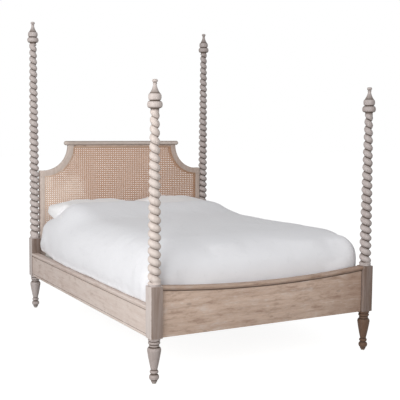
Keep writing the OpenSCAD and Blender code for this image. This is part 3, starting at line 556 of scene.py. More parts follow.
def copied(node):
    """A frame node's own shape, its flat sides made whole."""
    form = own_shape(node)
    bmesh.ops.dissolve_limit(form, angle_limit=FLAT_ANGLE, verts=form.verts, edges=form.edges)
    return form


def drawn_on(form, rim, offset):
    """Carries a rim of edges on by an offset, and returns the edges it ends in."""
    made = bmesh.ops.extrude_edge_only(form, edges=rim)["geom"]
    fresh = {part for part in made if isinstance(part, bmesh.types.BMVert)}
    bmesh.ops.translate(form, verts=list(fresh), vec=offset)
    return [part for part in made if isinstance(part, bmesh.types.BMEdge) and fresh.issuperset(part.verts)]


def cut(form, out, across, clear=False):
    """Cuts a form by an upright plane, so far from the middle of the bed."""
    everything = form.verts[:] + form.edges[:] + form.faces[:]
    bmesh.ops.bisect_plane(form, geom=everything, plane_co=(out * across, 0, 0), plane_no=(out, 0, 0),
                           clear_outer=clear)


def softened(name, nodes, finish, slot, width, first_board, tint=None):
    """Frame nodes with their sharp edges eased, as one piece."""
    form = bmesh.new()
    for node in nodes:
        add(form, round_edges(copied(node), width))
    number_boards(form, first_board)
    if tint:
        tinted(form, *tint)
    return shown(name, form, finish, slot, *nodes)


# Posts

LEG_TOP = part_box("side_rail_left")[0].z / MM
SHAFT_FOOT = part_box("twist_shaft_foot_left")[0].z / MM
RING_H = 12
BLOCK_TOP = SHAFT_FOOT - RING_H
BLOCK_W = 72
BLOCK_ROUND = 2.2
GLIDE_T = 4
ANKLE_Z = 80
ANKLE_R = 18.5
BALL_TOP = ANKLE_Z - 26
BALL_H = 33
VASE_R = 39
COLLAR_R = 34.5
RING_R = 36
RING_BULGE = 4.5
TWIST_R_LOW = 38
TWIST_R_TOP = {"foot": 25.5, "head": 27.5}
TWIST_BOW = 2.5
TWIST_PITCH = 47.5
TWIST_GROOVE = 0.53
TWIST_FULLNESS = 0.7
TWIST_RUN_OUT = 0.25
# How the twist's painted shade and dirt in the grooves grows with depth, and how much of it the lit posts
# lose.
HOLLOW_SHADE_CURVE = 1.5
LIT_HOLLOW_EASE = 0.45
# Painted shade: the blocks of the right-hand posts browner all round, away from the light.
SIDE_BROWN = {"left": 0.0, "right": 0.75}
# Per post: the twist's turn; how much paler it is, as painted light, mostly on the left posts; and how much
# browner the twist, the block's faces along the bed and the leg are, as painted shade, mostly on the right
# posts away from the light.
PostLook = namedtuple("PostLook", "turn chalk brown block leg")
POST_LOOKS = {("foot", "left"): PostLook(turn=-0.22, chalk=0.72, brown=0.0, block=0.78, leg=0.36),
        ("foot", "right"): PostLook(turn=-0.17, chalk=0.0, brown=0.08, block=0.9, leg=1.3),
        ("head", "left"): PostLook(turn=-0.45, chalk=0.2, brown=0.0, block=0.9, leg=0.05),
        ("head", "right"): PostLook(turn=0.04, chalk=0.0, brown=0.12, block=0.7, leg=0.5)}
ROPE_SIDES = 32
ROPE_STEPS = 24


def post_place(end, side):
    low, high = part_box(f"finial_{end}_{side}")
    return Vector(((low.x + high.x) / 2, (low.y + high.y) / 2, 0))


def turned_leg(place):
    vase_top = LEG_TOP - 68
    shoulder = [(VASE_R - 8 + 8 * math.cos(math.radians(a)), vase_top + 17 * math.sin(math.radians(a)))
                for a in range(9, 82, 9)]
    profile = ([(0, GLIDE_T), (11.4, GLIDE_T)]
               + bowed(GLIDE_T + 1.2, 12.5, BALL_TOP - BALL_H - 1, ANKLE_R, 1.5, 6)
               + bead(BALL_TOP - BALL_H, BALL_TOP, ANKLE_R - 2, 11.5, 18)
               + bead(BALL_TOP + 4, ANKLE_Z - 3, ANKLE_R - 2, 8, 14)
               + bowed(ANKLE_Z, ANKLE_R, vase_top, VASE_R, 1.2, 14)
               + shoulder
               + [(26, LEG_TOP - 50)]
               + bead(LEG_TOP - 49, LEG_TOP - 36, 25.5, 3.5, 10)
               + bead(LEG_TOP - 34, LEG_TOP - 17, 26, 8, 14)
               + [(30, LEG_TOP - 15), (COLLAR_R - 1, LEG_TOP - 12.6), (COLLAR_R, LEG_TOP - 11.6),
                  (COLLAR_R, LEG_TOP + 1), (0, LEG_TOP + 1)])
    return turned(profile, place)


def block(place, brown_level, side_level):
    """Square block, browner on the faces that look along the bed, as painted shade."""
    form = bmesh.new()
    bmesh.ops.create_cube(form, size=1.0)
    bmesh.ops.scale(form, verts=form.verts, vec=(BLOCK_W * MM, BLOCK_W * MM, (BLOCK_TOP - LEG_TOP) * MM))
    bmesh.ops.translate(form, verts=form.verts, vec=place + Vector((0, 0, (BLOCK_TOP + LEG_TOP) / 2 * MM)))
    round_edges(form, BLOCK_ROUND * MM, steps=4)
    # Painted shade: browner all round by side_level, and by brown_level on the faces along the bed.
    brown = level(tinted(form, "brown", side_level), "brown")
    for face in form.faces:
        if abs(face.normal.y) > 0.99:
            for vert in face.verts:
                vert[brown] = brown_level
    return form


def tinted(form, name, amount):
    """Sets one of the wood's levels over a whole form."""
    layer = level(form, name)
    for vert in form.verts:
        vert[layer] = amount
    return form


def post_base(end, side, number):
    place = post_place(end, side)
    post_look = POST_LOOKS[end, side]
    # Painted shade on the leg and block, painted light on the block, set per post.
    form = tinted(turned_leg(place), "brown", post_look.leg)
    add(form, tinted(block(place, post_look.block, SIDE_BROWN[side]), "chalk", post_look.chalk / 2))
    ring = ([(0, BLOCK_TOP - 1), (RING_R - RING_BULGE, BLOCK_TOP - 1)]
            + bead(BLOCK_TOP, SHAFT_FOOT, RING_R - RING_BULGE, RING_BULGE, 12) + [(0, SHAFT_FOOT)])
    add(form, turned(ring, place))
    number_boards(form, number)
    shown(f"base_{end}_{side}", form, POST_WOOD, "limed_wood", f"post_base_{end}_{side}")


def rope_section(form):
    """Cross-section of the rope: one rounded lobe that closes on a sharp groove."""
    bmesh.ops.create_circle(form, segments=ROPE_SIDES, radius=1.0)
    for number, corner in enumerate(form.verts):
        angle = math.pi * (1 - math.cos(math.pi * number / ROPE_SIDES))
        reach = TWIST_GROOVE + (1 - TWIST_GROOVE) * math.sin(angle / 2) ** TWIST_FULLNESS
        corner.co = (reach * math.cos(angle), reach * math.sin(angle), 0)


def twist(end, side, number):
    """Barley-twist shaft, wound from one lobe that runs out into the round at both ends."""
    post_look = POST_LOOKS[end, side]
    low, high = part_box(f"twist_shaft_{end}_{side}")
    length = high.z - low.z
    turns = math.ceil(length / (TWIST_PITCH * MM) * 8) / 8
    pitch = length / turns
    form = bmesh.new()
    rope_section(form)
    bmesh.ops.rotate(form, verts=form.verts, cent=(0, 0, 0),
                     matrix=Matrix.Rotation(FULL_TURN * post_look.turn, 3, "Z"))
    bmesh.ops.spin(form, geom=form.verts[:] + form.edges[:], cent=(0, 0, 0), axis=(0, 0, 1),
                   dvec=(0, 0, pitch / ROPE_STEPS), angle=-FULL_TURN, steps=ROPE_STEPS, use_merge=False)
    repeated(form, (0, 0, pitch), math.ceil(turns))
    over = [vert for vert in form.verts if vert.co.z > length + 0.1 * MM]
    bmesh.ops.delete(form, geom=over, context="VERTS")
    hollow = level(form, "hollow")
    for vert in form.verts:
        reach = math.hypot(vert.co.x, vert.co.y)
        height = vert.co.z
        run = min(1.0, height / (TWIST_RUN_OUT * pitch), (length - height) / (TWIST_RUN_OUT * pitch))
        kept = 1 - max(0.0, run) * (1 - reach)
        share = max(0.0, min(1.0, height / length))
        radius = TWIST_R_LOW + (TWIST_R_TOP[end] - TWIST_R_LOW) * share
        radius += TWIST_BOW * math.sin(math.pi * share)
        # Painted shade and dirt in the grooves, less on the posts that get painted light.
        vert[hollow] = ((1 - kept) / (1 - TWIST_GROOVE)) ** HOLLOW_SHADE_CURVE * (1 - LIT_HOLLOW_EASE * post_look.chalk)
        vert.co.x *= kept * radius * MM / reach
        vert.co.y *= kept * radius * MM / reach
    close(form)
    bmesh.ops.translate(form, verts=form.verts, vec=post_place(end, side) + Vector((0, 0, low.z)))
    # Painted light and painted shade for this post's twist.
    tinted(number_boards(form, number), "chalk", post_look.chalk)
    tinted(form, "brown", post_look.brown)
    shown(f"twist_{end}_{side}", form, POST_WOOD, "limed_wood", f"twist_shaft_{end}_{side}", sharp=60)


NECK_H = 14
NECK_R = 23
BULB_H = 38
BULB_R = 42
UPPER_BULB_R = 36
CONE_H = 45
CONE_TIP_R = 9.5
BUTTON_COLLAR_H = 8
BUTTON_H = 17
BUTTON_R = 15.5


def finial(end, side, number):
    low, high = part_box(f"finial_{end}_{side}")
    height = (high.z - low.z) / MM
    groove = NECK_H + BULB_H + 2
    cone_top = height - BUTTON_H - BUTTON_COLLAR_H - 3
    cone_foot = cone_top - CONE_H
    profile = ([(0, 0), (NECK_R - 2, 0), (NECK_R - 0.6, 0.6), (NECK_R, 2), (NECK_R, NECK_H - 6),
                (NECK_R + 3, NECK_H - 1)]
               + bead(NECK_H, NECK_H + BULB_H, 30, BULB_R - 30, 24)
               + [(27, groove)]
               + bead(groove + 2, cone_foot - 3, 29, UPPER_BULB_R - 29, 20)
               + bowed(cone_foot, 27, cone_top, CONE_TIP_R, -3, 14)
               + bead(cone_top + 1, cone_top + 1 + BUTTON_COLLAR_H, CONE_TIP_R, 2.5, 8)
               + bead(height - BUTTON_H, height, BUTTON_R - 7, 7, 16)
               + [(0, height)])
    form = turned(profile, post_place(end, side) + Vector((0, 0, low.z)))
    # Half the post's painted light and twice its painted shade.
    tinted(number_boards(form, number), "chalk", POST_LOOKS[end, side].chalk / 2)
    tinted(form, "brown", POST_LOOKS[end, side].brown * 2)
    shown(f"turned_finial_{end}_{side}", form, POST_WOOD, "limed_wood", f"finial_{end}_{side}")


for post_number, (post_end, post_side) in enumerate(POSTS):
    post_base(post_end, post_side, 1.7 + 9 * post_number)
    twist(post_end, post_side, 4.1 + 9 * post_number)
    finial(post_end, post_side, 7.3 + 9 * post_number)

# Mouldings

EASED = 1.2 * MM
# How far up from a cap's underside its painted shade reaches: CAP_STEP for the ledges and head cap,
# FOOT_CAP_STEP for the foot cap.
CAP_STEP = 3.5 * MM
JOINT = 3 * MM
QUIRK = 4
QUIRK_REACH = 1.5 * MM
QUIRK_SHADE = 0.9
BEAD_H = 16
RAIL_OUT = 17
LEDGE_OUT = 14
# Painted light: the front halves of the rails and ledges paler, nearer the light.
RAIL_FRONT_LIGHT = 0.55
FOOT_CAP_BROWN = 0.25
FOOT_CAP_STEP = 7.5 * MM


def arc_points(across, up, radius, begin, end, steps):
    """Points of an arc about a centre, between two angles in degrees."""
    turns = [math.radians(begin + (end - begin) * i / steps) for i in range(steps + 1)]
    return [(across + radius * math.cos(turn), up + radius * math.sin(turn)) for turn in turns]


def nosing(width, thick):
    """Half of a cap's section: round nose, then a step back to the underside."""
    nose = thick * 0.32
    step = width / 2 - thick * 0.25
    arc = arc_points(width / 2 - nose, thick - nose, nose, 90, -60, 20)
    return arc + [(step, thick - 2 * nose), (step - 0.8, 5.0), (step - 1.5, 2), (step - 3.5, 0)]


def cap_section(width, thick):
    """Whole section of a cap, from the middle of its top round to the middle of its underside and back."""
    half = nosing(width, thick)
    return [(0, thick)] + half + [(0, 0)] + [(-across, up) for across, up in reversed(half)]


def mark(form, name, wanted, amount=1.0):
    """Sets one of the wood's levels at the points that are wanted."""
    layer = level(form, name)
    for vert in form.verts:
        if wanted(vert.co):
            vert[layer] = amount
    return form


def rail_cap(side, number):
    node = f"rail_cap_{side}"
    low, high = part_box(node)
    middle = (low.x + high.x) / 2 + SIDES[side] * LEDGE_OUT / 2 * MM
    section = cap_section((high.x - low.x) / MM + LEDGE_OUT, (high.z - low.z) / MM)
    outline = [(middle + across * MM, low.y, low.z + up * MM) for across, up in section]
    form = number_boards(swept(outline, (0, high.y - low.y, 0)), number)
    # Painted shade under the ledge's nose.
    mark(form, "hollow", lambda spot: spot.z < low.z + CAP_STEP)
    # Painted light on the front half.
    mark(form, "chalk", lambda spot: spot.y < 0, RAIL_FRONT_LIGHT)
    shown(f"ledge_{side}", form, RAIL_WOOD, "limed_wood", node)


def side_rail(side, number):
    """Side rail with a bead and quirk along its lower edge."""
    node = f"side_rail_{side}"
    low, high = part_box(node)
    out = SIDES[side]
    half = ((high.x - low.x) / MM + RAIL_OUT) / 2
    middle = (low.x + high.x) / 2 + out * RAIL_OUT / 2 * MM
    tall = (high.z - low.z) / MM
    bead_arc = [(half - QUIRK + QUIRK * across, BEAD_H / 2 * (1 + up))
                for across, up in arc_points(0, 0, 1, -90, 90, 16)]
    section = ([(-half, 0)] + bead_arc
               + [(half - QUIRK, BEAD_H + 2), (half, BEAD_H + 4), (half, tall), (-half, tall)])
    outline = [(middle + out * across * MM, low.y, low.z + up * MM) for across, up in section]
    form = swept(outline, (0, high.y - low.y, 0))
    quirk_z = low.z + (BEAD_H + 1) * MM
    outer = half * 0.6 * MM
    # Painted shade in the quirk above the bead.
    mark(form, "hollow",
         lambda spot: abs(spot.z - quirk_z) < QUIRK_REACH and abs(spot.x - middle) > outer, QUIRK_SHADE)
    number_boards(form, number)
    # Painted light on the front half.
    mark(form, "chalk", lambda spot: spot.y < 0, RAIL_FRONT_LIGHT)
    shown(f"rail_{side}", form, RAIL_WOOD, "limed_wood", node)


for rail_number, rail_side in enumerate(SIDES):
    side_rail(rail_side, 41.2 + 5 * rail_number)
    rail_cap(rail_side, 52.6 + 5 * rail_number)

# Footboard

FOOT_CAP_T = 28
FOOT_DIP = 34
CAP_SWEEP = math.radians(11.6)


def footboard():
    """Solid panel, with painted shade in its joints to the blocks."""
    form = round_edges(copied("footboard_panel"), EASED)
    joint = post_place("foot", "right").x - BLOCK_W / 2 * MM - JOINT
    for out in SIDES.values():
        cut(form, out, joint)
        cut(form, out, joint - JOINT)
    # Painted shade in the joints to the blocks.
    mark(form, "hollow", lambda spot: abs(spot.x) > joint - 0.1 * MM)
    number_boards(form, 61.0)
    shown("foot_panel", form, BOARD_WOOD, "limed_wood", "footboard_panel")


def footboard_cap():
    """Moulded cap swept along the footboard's shallow curve."""
    node = "footboard_cap"
    low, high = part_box(node)
    middle = (low.y + high.y) / 2
    half_x = (high.x - low.x) / 2
    dip = FOOT_DIP * MM
    radius = (half_x * half_x + dip * dip) / (2 * dip)
    centre = Vector((0, middle, BLOCK_TOP * MM - dip + radius))
    form = bmesh.new()
    level(form, "hollow")
    section = cap_section((high.y - low.y) / MM, FOOT_CAP_T)
    top = centre.z - radius
    foot = top - FOOT_CAP_T * MM
    verts = [form.verts.new((0, middle + across * MM, foot + up * MM)) for across, up in section]
    # Painted shadow line under the cap's nose.
    mark(form, "hollow", lambda spot: spot.z < foot + FOOT_CAP_STEP)
    edges = [form.edges.new(pair) for pair in zip(verts, verts[1:] + verts[:1])]
    bmesh.ops.rotate(form, verts=form.verts, cent=centre, matrix=Matrix.Rotation(CAP_SWEEP / 2, 3, "Y"))
    bmesh.ops.spin(form, geom=verts + edges, cent=centre, axis=(0, 1, 0), angle=-CAP_SWEEP, steps=60,
                   use_merge=False)
    for out in SIDES.values():
        cut(form, out, half_x, clear=True)
    close(form)
    tinted(number_boards(form, 66.0), "brown", FOOT_CAP_BROWN)
    shown("foot_cap", form, BOARD_WOOD, "limed_wood", node)


footboard()
footboard_cap()

# Headboard

# Painted light on the left of the headboard frame, painted shade on the right.
HEAD_TINT = {"left": ("chalk", 0.4), "right": ("brown", 0.18)}
CAP_CHALK = 0.2
# Painted shade: the head cap browner along its top edge.
CAP_TOP_BROWN = 0.45
CAP_TOP_EDGE = 8 * MM

for frame_number, frame_side in enumerate(SIDES):
    for frame_part, first_board in (("stile", 71.0), ("shoulder", 77.0)):
        softened(f"head_{frame_part}_{frame_side}", [f"headboard_{frame_part}_{frame_side}"], STILE_WOOD,
                 "limed_wood", EASED, first_board + 3 * frame_number, HEAD_TINT[frame_side])
softened("head_rails", ["headboard_top_rail", "headboard_bottom_rail"], BOARD_WOOD, "limed_wood", EASED, 81.0,
         ("brown", 0.1))


def headboard_cap():
    """Moulded cap with a half-round nose that runs round both its ends."""
    node = "headboard_cap"
    low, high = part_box(node)
    deep = (high.y - low.y) / MM
    middle = (low.y + high.y) / 2
    end_x = high.x - (high.y - low.y) / 2
    thick = (high.z - low.z) / MM
    half = [(0, thick)] + arc_points((deep - thick) / 2, thick / 2, thick / 2, 90, -90, 24) + [(0, 0)]
    section = half + [(-across, up) for across, up in reversed(half[1:-1])]
    outline = [(-end_x, middle + across * MM, low.z + up * MM) for across, up in section]
    form = swept(outline, (2 * end_x, 0, 0))
    ends = [face for face in form.faces if abs(face.normal.x) > 0.9]
    bmesh.ops.delete(form, geom=ends, context="FACES_ONLY")
    for out in SIDES.values():
        line = [form.verts.new((out * end_x, middle + across * MM, low.z + up * MM)) for across, up in half]
        edges = [form.edges.new(pair) for pair in zip(line, line[1:])]
        bmesh.ops.spin(form, geom=line + edges, cent=(out * end_x, middle, 0), axis=(0, 0, 1),
                       angle=-out * math.pi, steps=24, use_merge=False)
    close(form)
    tinted(form, "chalk", CAP_CHALK)
    # Painted shade along the top edge.
    mark(form, "brown", lambda spot: spot.z > high.z - CAP_TOP_EDGE, CAP_TOP_BROWN)
    # Painted shade under the cap.
    mark(form, "hollow", lambda spot: spot.z < low.z + CAP_STEP)
    number_boards(form, 88.0)
    shown("head_cap", form, STILE_ACROSS, "limed_wood", node)


headboard_cap()

# Woven cane

CANE_PITCH = 16
CANE_PAIR = 3.05
CANE_LOW, CANE_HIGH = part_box("cane_panel")
CANE_Y = (CANE_LOW.y + CANE_HIGH.y) / 2
CORNER_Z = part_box("headboard_cap")[0].z
CORNER_R = 0.236
STRAND_W = 4.7
STRAND_T = 0.5
WEAVE_LIFT = 0.4
SLANT_LIFT = 0.35


def inside_cane(x, z):
    """Whether a point lies within the cane's outline, with its two hollow upper corners."""
    if abs(x) > CANE_HIGH.x or not CANE_LOW.z < z < CANE_HIGH.z:
        return False
    return math.hypot(abs(x) - CANE_HIGH.x, z - CORNER_Z) > CORNER_R


def strand(start, stride, count, lift, flat_axis):
    """One flat strand, woven over and under as it goes."""
    form = bmesh.new()
    side = Vector(flat_axis) * STRAND_W / 2 * MM
    front = Vector((0, STRAND_T / 2 * MM, 0))
    verts = [form.verts.new(Vector(start) + corner + Vector((0, lift(0), 0)))
             for corner in (side, front + side * 0.5, front - side * 0.5, -side, -front)]
    rim = [form.edges.new(pair) for pair in zip(verts, verts[1:] + verts[:1])]
    for step in range(1, count + 1):
        rim = drawn_on(form, rim, Vector(stride) + Vector((0, lift(step) - lift(step - 1), 0)))
    return form


def weave(name, strands, offset, count):
    """Strands that run one way, repeated across the panel and trimmed to its outline."""
    form = bmesh.new()
    for one in strands:
        add(form, one)
    repeated(form, offset, count)
    outside = []
    for face in form.faces:
        middle = face.calc_center_median()
        if not inside_cane(middle.x, middle.z):
            outside.append(face)
    bmesh.ops.delete(form, geom=outside, context="FACES")
    return shown(name, close(form), CANE, "cane")


def woven_cane():
    """Pairs of uprights and levels, two to a hole, with single slants both ways."""
    pitch = CANE_PITCH * MM
    pair = CANE_PAIR * MM
    columns = int(CANE_HIGH.x / pitch) + 1
    rows = int((CANE_HIGH.z - CANE_LOW.z) / pitch) + 1
    edge_x = -columns * pitch

    def over(turn, height):
        return lambda at: height * MM * (1 if (at + turn) % 4 < 2 else -1)

    places = [(number, out) for number in (0, 1) for out in (-1, 1)]
    uprights = [strand((edge_x + number * pitch + out * pair, CANE_Y, CANE_LOW.z), (0, 0, pitch / 2),
                       2 * rows, over(2 * number + out, WEAVE_LIFT), (1, 0, 0)) for number, out in places]
    weave("cane_uprights", uprights, (2 * pitch, 0, 0), columns + 1)
    levels = [strand((edge_x, CANE_Y, CANE_LOW.z + (number + 0.5) * pitch + out * pair), (pitch / 2, 0, 0),
                     4 * columns, over(2 * number - out, WEAVE_LIFT), (0, 0, 1)) for number, out in places]
    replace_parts(weave("cane_levels", levels, (0, 0, 2 * pitch), rows // 2 + 1), "cane_panel")
    for name, lean in (("cane_slants_right", 1), ("cane_slants_left", -1)):
        flat = Vector((1, 0, -lean)).normalized()
        begin = edge_x - (rows * pitch if lean > 0 else 0)
        slants = [strand((begin + number * pitch, CANE_Y - lean * SLANT_LIFT * MM, CANE_LOW.z),
                         (lean * pitch / 2, 0, pitch / 2), 2 * rows, over(2 * number, WEAVE_LIFT / 2), flat)
                  for number in (0, 1)]
        weave(name, slants, (2 * pitch, 0, 0), columns + rows // 2 + 1)


woven_cane()

# Mattress support, joints and hardware


def dress(finish, *nodes):
    """Gives nodes whose shape is right a better material."""
    for node in nodes:
        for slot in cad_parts[node].material_slots:
            slot.material = finish


softened("bed_slats", ["slats"], BEECH_ACROSS, "bare_wood", 2 * MM, 101.0)
softened("ledgers", ["slat_ledger_left", "slat_ledger_right"], BEECH_ALONG, "bare_wood", EASED, 131.0)
softened("middle_rail", ["centre_rail"], BEECH_ALONG, "bare_wood", EASED, 137.0)
dress(BEECH_UPRIGHT, "finial_dowels", "centre_leg")
dress(BEECH_ACROSS, "headboard_dowels")
dress(REED, "cane_spline")
dress(STEEL, "shaft_rods", "headboard_bolts", "rail_hooks", "post_catches", "centre_hangers")
dress(NYLON, "floor_glides")
dress(BLACK_PLASTIC, "centre_leveller")

# Mattress

MATTRESS_CORNER = 60
MATTRESS_CROWN = ((12, 4.5), (30, 6.5), (90, 7))
MATTRESS_EDGE = 7
MATTRESS_DRAW = 5
SEAM = 9
PIPING_R = 4


def mattress():
    """Foam mattress: crowned panels, piped round both edges, with sides that draw in a little."""
    low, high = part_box("mattress")
    half_x = (high.x - low.x) / 2
    half_y = (high.y - low.y) / 2
    middle = (low + high) / 2
    corner = MATTRESS_CORNER * MM
    form = bmesh.new()
    bmesh.ops.create_grid(form, x_segments=1, y_segments=1, size=1.0)
    bmesh.ops.scale(form, verts=form.verts, vec=(half_x - 2 * MM, half_y - 2 * MM, 1))
    bmesh.ops.bevel(form, geom=form.verts[:], offset=corner, offset_type="OFFSET", segments=8, profile=0.5,
                    affect="VERTICES", material=-1)
    outline = form.faces[:]
    bmesh.ops.translate(form, verts=form.verts, vec=(0, 0, high.z - MATTRESS_EDGE * MM))
    made = bmesh.ops.extrude_face_region(form, geom=outline)
    lower = [part for part in made["geom"] if isinstance(part, bmesh.types.BMVert)]
    bmesh.ops.translate(form, verts=lower, vec=(0, 0, low.z - high.z + 2 * MATTRESS_EDGE * MM))
    bmesh.ops.recalc_face_normals(form, faces=form.faces)
    panels = [face for face in form.faces if abs(face.normal.z) > 0.9]
    for inset, rise in MATTRESS_CROWN:
        bmesh.ops.inset_region(form, faces=panels, thickness=inset * MM, use_even_offset=True)
        for panel in panels:
            out = 1 if panel.normal.z > 0 else -1
            for vert in panel.verts:
                vert.co.z = (high.z if out > 0 else low.z) - out * (MATTRESS_EDGE - rise) * MM
    bmesh.ops.translate(form, verts=form.verts, vec=(middle.x, middle.y, 0))
    sides = [edge for edge in form.edges if abs(edge.verts[0].co.z - edge.verts[1].co.z) > 0.2]
    bmesh.ops.subdivide_edges(form, edges=sides, cuts=5, use_grid_fill=False)
    for vert in form.verts:
        off = Vector((vert.co.x - middle.x, vert.co.y - middle.y, 0))
        share = max(0.0, 1 - abs(vert.co.z - middle.z) / (high.z - low.z) * 2)
        vert.co -= off.normalized() * MATTRESS_DRAW * MM * min(1, 4 * share)
    made_piece = shown("mattress_body", form, TICKING, "mattress_cloth", "mattress", sharp=50)
    for name, height in (("piping_upper", high.z - SEAM * MM), ("piping_lower", low.z + SEAM * MM)):
        place = Vector((middle.x, middle.y, height))
        piping(name, half_x - PIPING_R * MM, half_y - PIPING_R * MM, corner, place)


def piping(name, half_x, half_y, corner, place):
    """Round cord in its ticking cover, sewn along a rounded outline."""
    form = bmesh.new()
    bmesh.ops.create_circle(form, segments=8, radius=PIPING_R * MM)
    bmesh.ops.rotate(form, verts=form.verts, cent=(0, 0, 0), matrix=Matrix.Rotation(math.pi / 2, 3, "X"))
    bmesh.ops.translate(form, verts=form.verts, vec=(half_x, half_y - corner, 0))
    rim = form.edges[:]
    for turn in range(4):
        centre = ((half_x - corner) * (1, -1, -1, 1)[turn], (half_y - corner) * (1, 1, -1, -1)[turn], 0)
        verts = list({vert for edge in rim for vert in edge.verts})
        made = bmesh.ops.spin(form, geom=verts + rim, cent=centre, axis=(0, 0, 1), angle=math.pi / 2, steps=8,
                              use_merge=False)
        rim = [part for part in made["geom_last"] if isinstance(part, bmesh.types.BMEdge)]
        straight = (half_y if turn % 2 else half_x) - corner
        along = ((-1, 0, 0), (0, -1, 0), (1, 0, 0), (0, 1, 0))[turn]
        rim = drawn_on(form, rim, Vector(along) * 2 * straight)
    close(form)
    bmesh.ops.translate(form, verts=form.verts, vec=place)
    made = shown(name, form, TICKING, "mattress_cloth")


mattress()

# Soft goods

SWELL_FRAMES = 20
PUFFY_CLOTH = {"quality": 5, "mass": 0.3, "tension_stiffness": 12, "compression_stiffness": 12,
               "shear_stiffness": 5, "air_damping": 2, "use_pressure": True}


def take(made, mesh):
    """Gives a piece a new mesh in place of its own and of its modifiers."""
    old = made.data
    mesh.materials.clear()
    mesh.materials.append(old.materials[0])
    made.modifiers.clear()
    made.data = mesh
    bpy.data.meshes.remove(old)
    mesh.shade_smooth()


def swell(made, pressure, reach, spare, stiffness, held=None):
    """Blows a piece up as cloth with a little spare length; no point goes further than reach."""
    rest = [vert.co.copy() for vert in made.data.vertices]
    cloth = made.modifiers.new("swell", "CLOTH")
    settings = cloth.settings
    for name, value in PUFFY_CLOTH.items():
        setattr(settings, name, value)
    settings.bending_stiffness = stiffness
    settings.uniform_pressure_force = pressure
    settings.shrink_min = -spare
    settings.effector_weights.gravity = 0
    if held:
        group = made.vertex_groups.new(name="held")
        for number, place in enumerate(rest):
            weight = held(place)
            if weight > 0:
                group.add([number], weight, "REPLACE")
        settings.vertex_group_mass = "held"
    cloth.point_cache.frame_start = 1
    cloth.point_cache.frame_end = SWELL_FRAMES
    for number in range(1, SWELL_FRAMES + 1):
        bpy.context.scene.frame_set(number)
    take(made, evaluated(made))
    bpy.context.scene.frame_set(1)
    made.vertex_groups.clear()
    for vert, place in zip(made.data.vertices, rest):
        moved = vert.co - place
        if moved.length > reach * MM:
            vert.co = place + moved.normalized() * reach * MM


def subdivided(made):
    finer = made.modifiers.new("finer", "SUBSURF")
    finer.levels = 1
    finer.render_levels = 1
    return made


def smooth_step(low, high, value):
    share = max(0.0, min(1.0, (value - low) / (high - low)))
    return share * share * (3 - 2 * share)


# Pillows

PILLOW_HALF = (0.335, 0.245)
PILLOW_WAIST = 0.12
PILLOW_THIN = 0.075
PILLOW_OUT = 0.022
PILLOW_DROOP = {"left": 0.03, "right": 0.15}
DROOP_X = (0.35, 0.66)
PILLOW_LEAN = math.radians(20)
PILLOW_BLOW = 5.0
PILLOW_REACH = 105
PILLOW_TOP = {"left": 0.855, "right": 0.860}


def pillow(side):
    """Feather pillow blown up from a flat case, leaning on the headboard."""
    low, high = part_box(f"pillow_{side}")
    form = bmesh.new()
    bmesh.ops.create_grid(form, x_segments=44, y_segments=32, size=1.0)
    for vert in form.verts:
        x, y = vert.co.x, vert.co.y
        vert.co.x *= PILLOW_HALF[0] * (1 - PILLOW_WAIST * y ** 4)
        vert.co.y *= PILLOW_HALF[1] * (1 - PILLOW_WAIST * x ** 4)
    upper = form.faces[:]
    made = bmesh.ops.duplicate(form, geom=upper)
    lower = [part for part in made["geom"] if isinstance(part, bmesh.types.BMFace)]
    bmesh.ops.reverse_faces(form, faces=lower)
    for faces, out in ((upper, 1), (lower, -1)):
        for vert in {vert for face in faces for vert in face.verts}:
            vert.co.z = out * PILLOW_THIN / 2
    bmesh.ops.bridge_loops(form, edges=[edge for edge in form.edges if edge.is_boundary])
    gusset = [edge for edge in form.edges if abs(edge.verts[0].co.z - edge.verts[1].co.z) > PILLOW_THIN / 2]
    bmesh.ops.subdivide_edges(form, edges=gusset, cuts=3)
    bmesh.ops.recalc_face_normals(form, faces=form.faces)
    bmesh.ops.rotate(form, verts=form.verts, cent=(0, 0, 0), matrix=Matrix.Rotation(PILLOW_LEAN, 3, "X"))
    bmesh.ops.translate(form, verts=form.verts, vec=(low + high) / 2)
    made = shown(f"bed_pillow_{side}", form, PILLOW_COTTON, "white_cotton", f"pillow_{side}")
    swell(made, PILLOW_BLOW, PILLOW_REACH, 0.0, 0.4)
    high.z = PILLOW_TOP[side]
    (low if side == "left" else high).x += SIDES[side] * PILLOW_OUT
    fit_between(made, low, high)
    for vert in made.data.vertices:
        droop = PILLOW_DROOP[side] * smooth_step(*DROOP_X, abs(vert.co.x))
        vert.co.z -= droop * (vert.co.z - low.z)
    subdivided(made)


def fit_between(made, low, high):
    """Stretches a piece to fill the space between two corners."""
    spots = [vert.co for vert in made.data.vertices]
    for axis in range(3):
        least = min(spot[axis] for spot in spots)
        most = max(spot[axis] for spot in spots)
        for spot in spots:
            spot[axis] = low[axis] + (spot[axis] - least) / (most - least) * (high[axis] - low[axis])


for pillow_side in SIDES:
    pillow(pillow_side)

# Cover

COVER_PUSH = 6
COVER_BLOW = 2.5
COVER_REACH = 12
COVER_SPARE = 0.03
TUCK = 0.56
HEAD_STRETCH = 0.055
EDGE_FALL = {"left": 0.040, "right": 0.006}
FOOT_FALL = 0.045
FOOT_TUCK = 0.005
FLARE = {"left": 0.022, "right": 0.0}
HEAD_PINCH = 0.024
PULL_BACK = 0.065
RIGHT_DROP = 0.058
LEFT_LIFT = 0.004
LUMP = 4
LUMP_SCALE = 5.0
HEM_LUMP = 5
HEM_LUMP_SCALE = 22.0

# Where each change in the cover's shape begins and where it is full, in metres

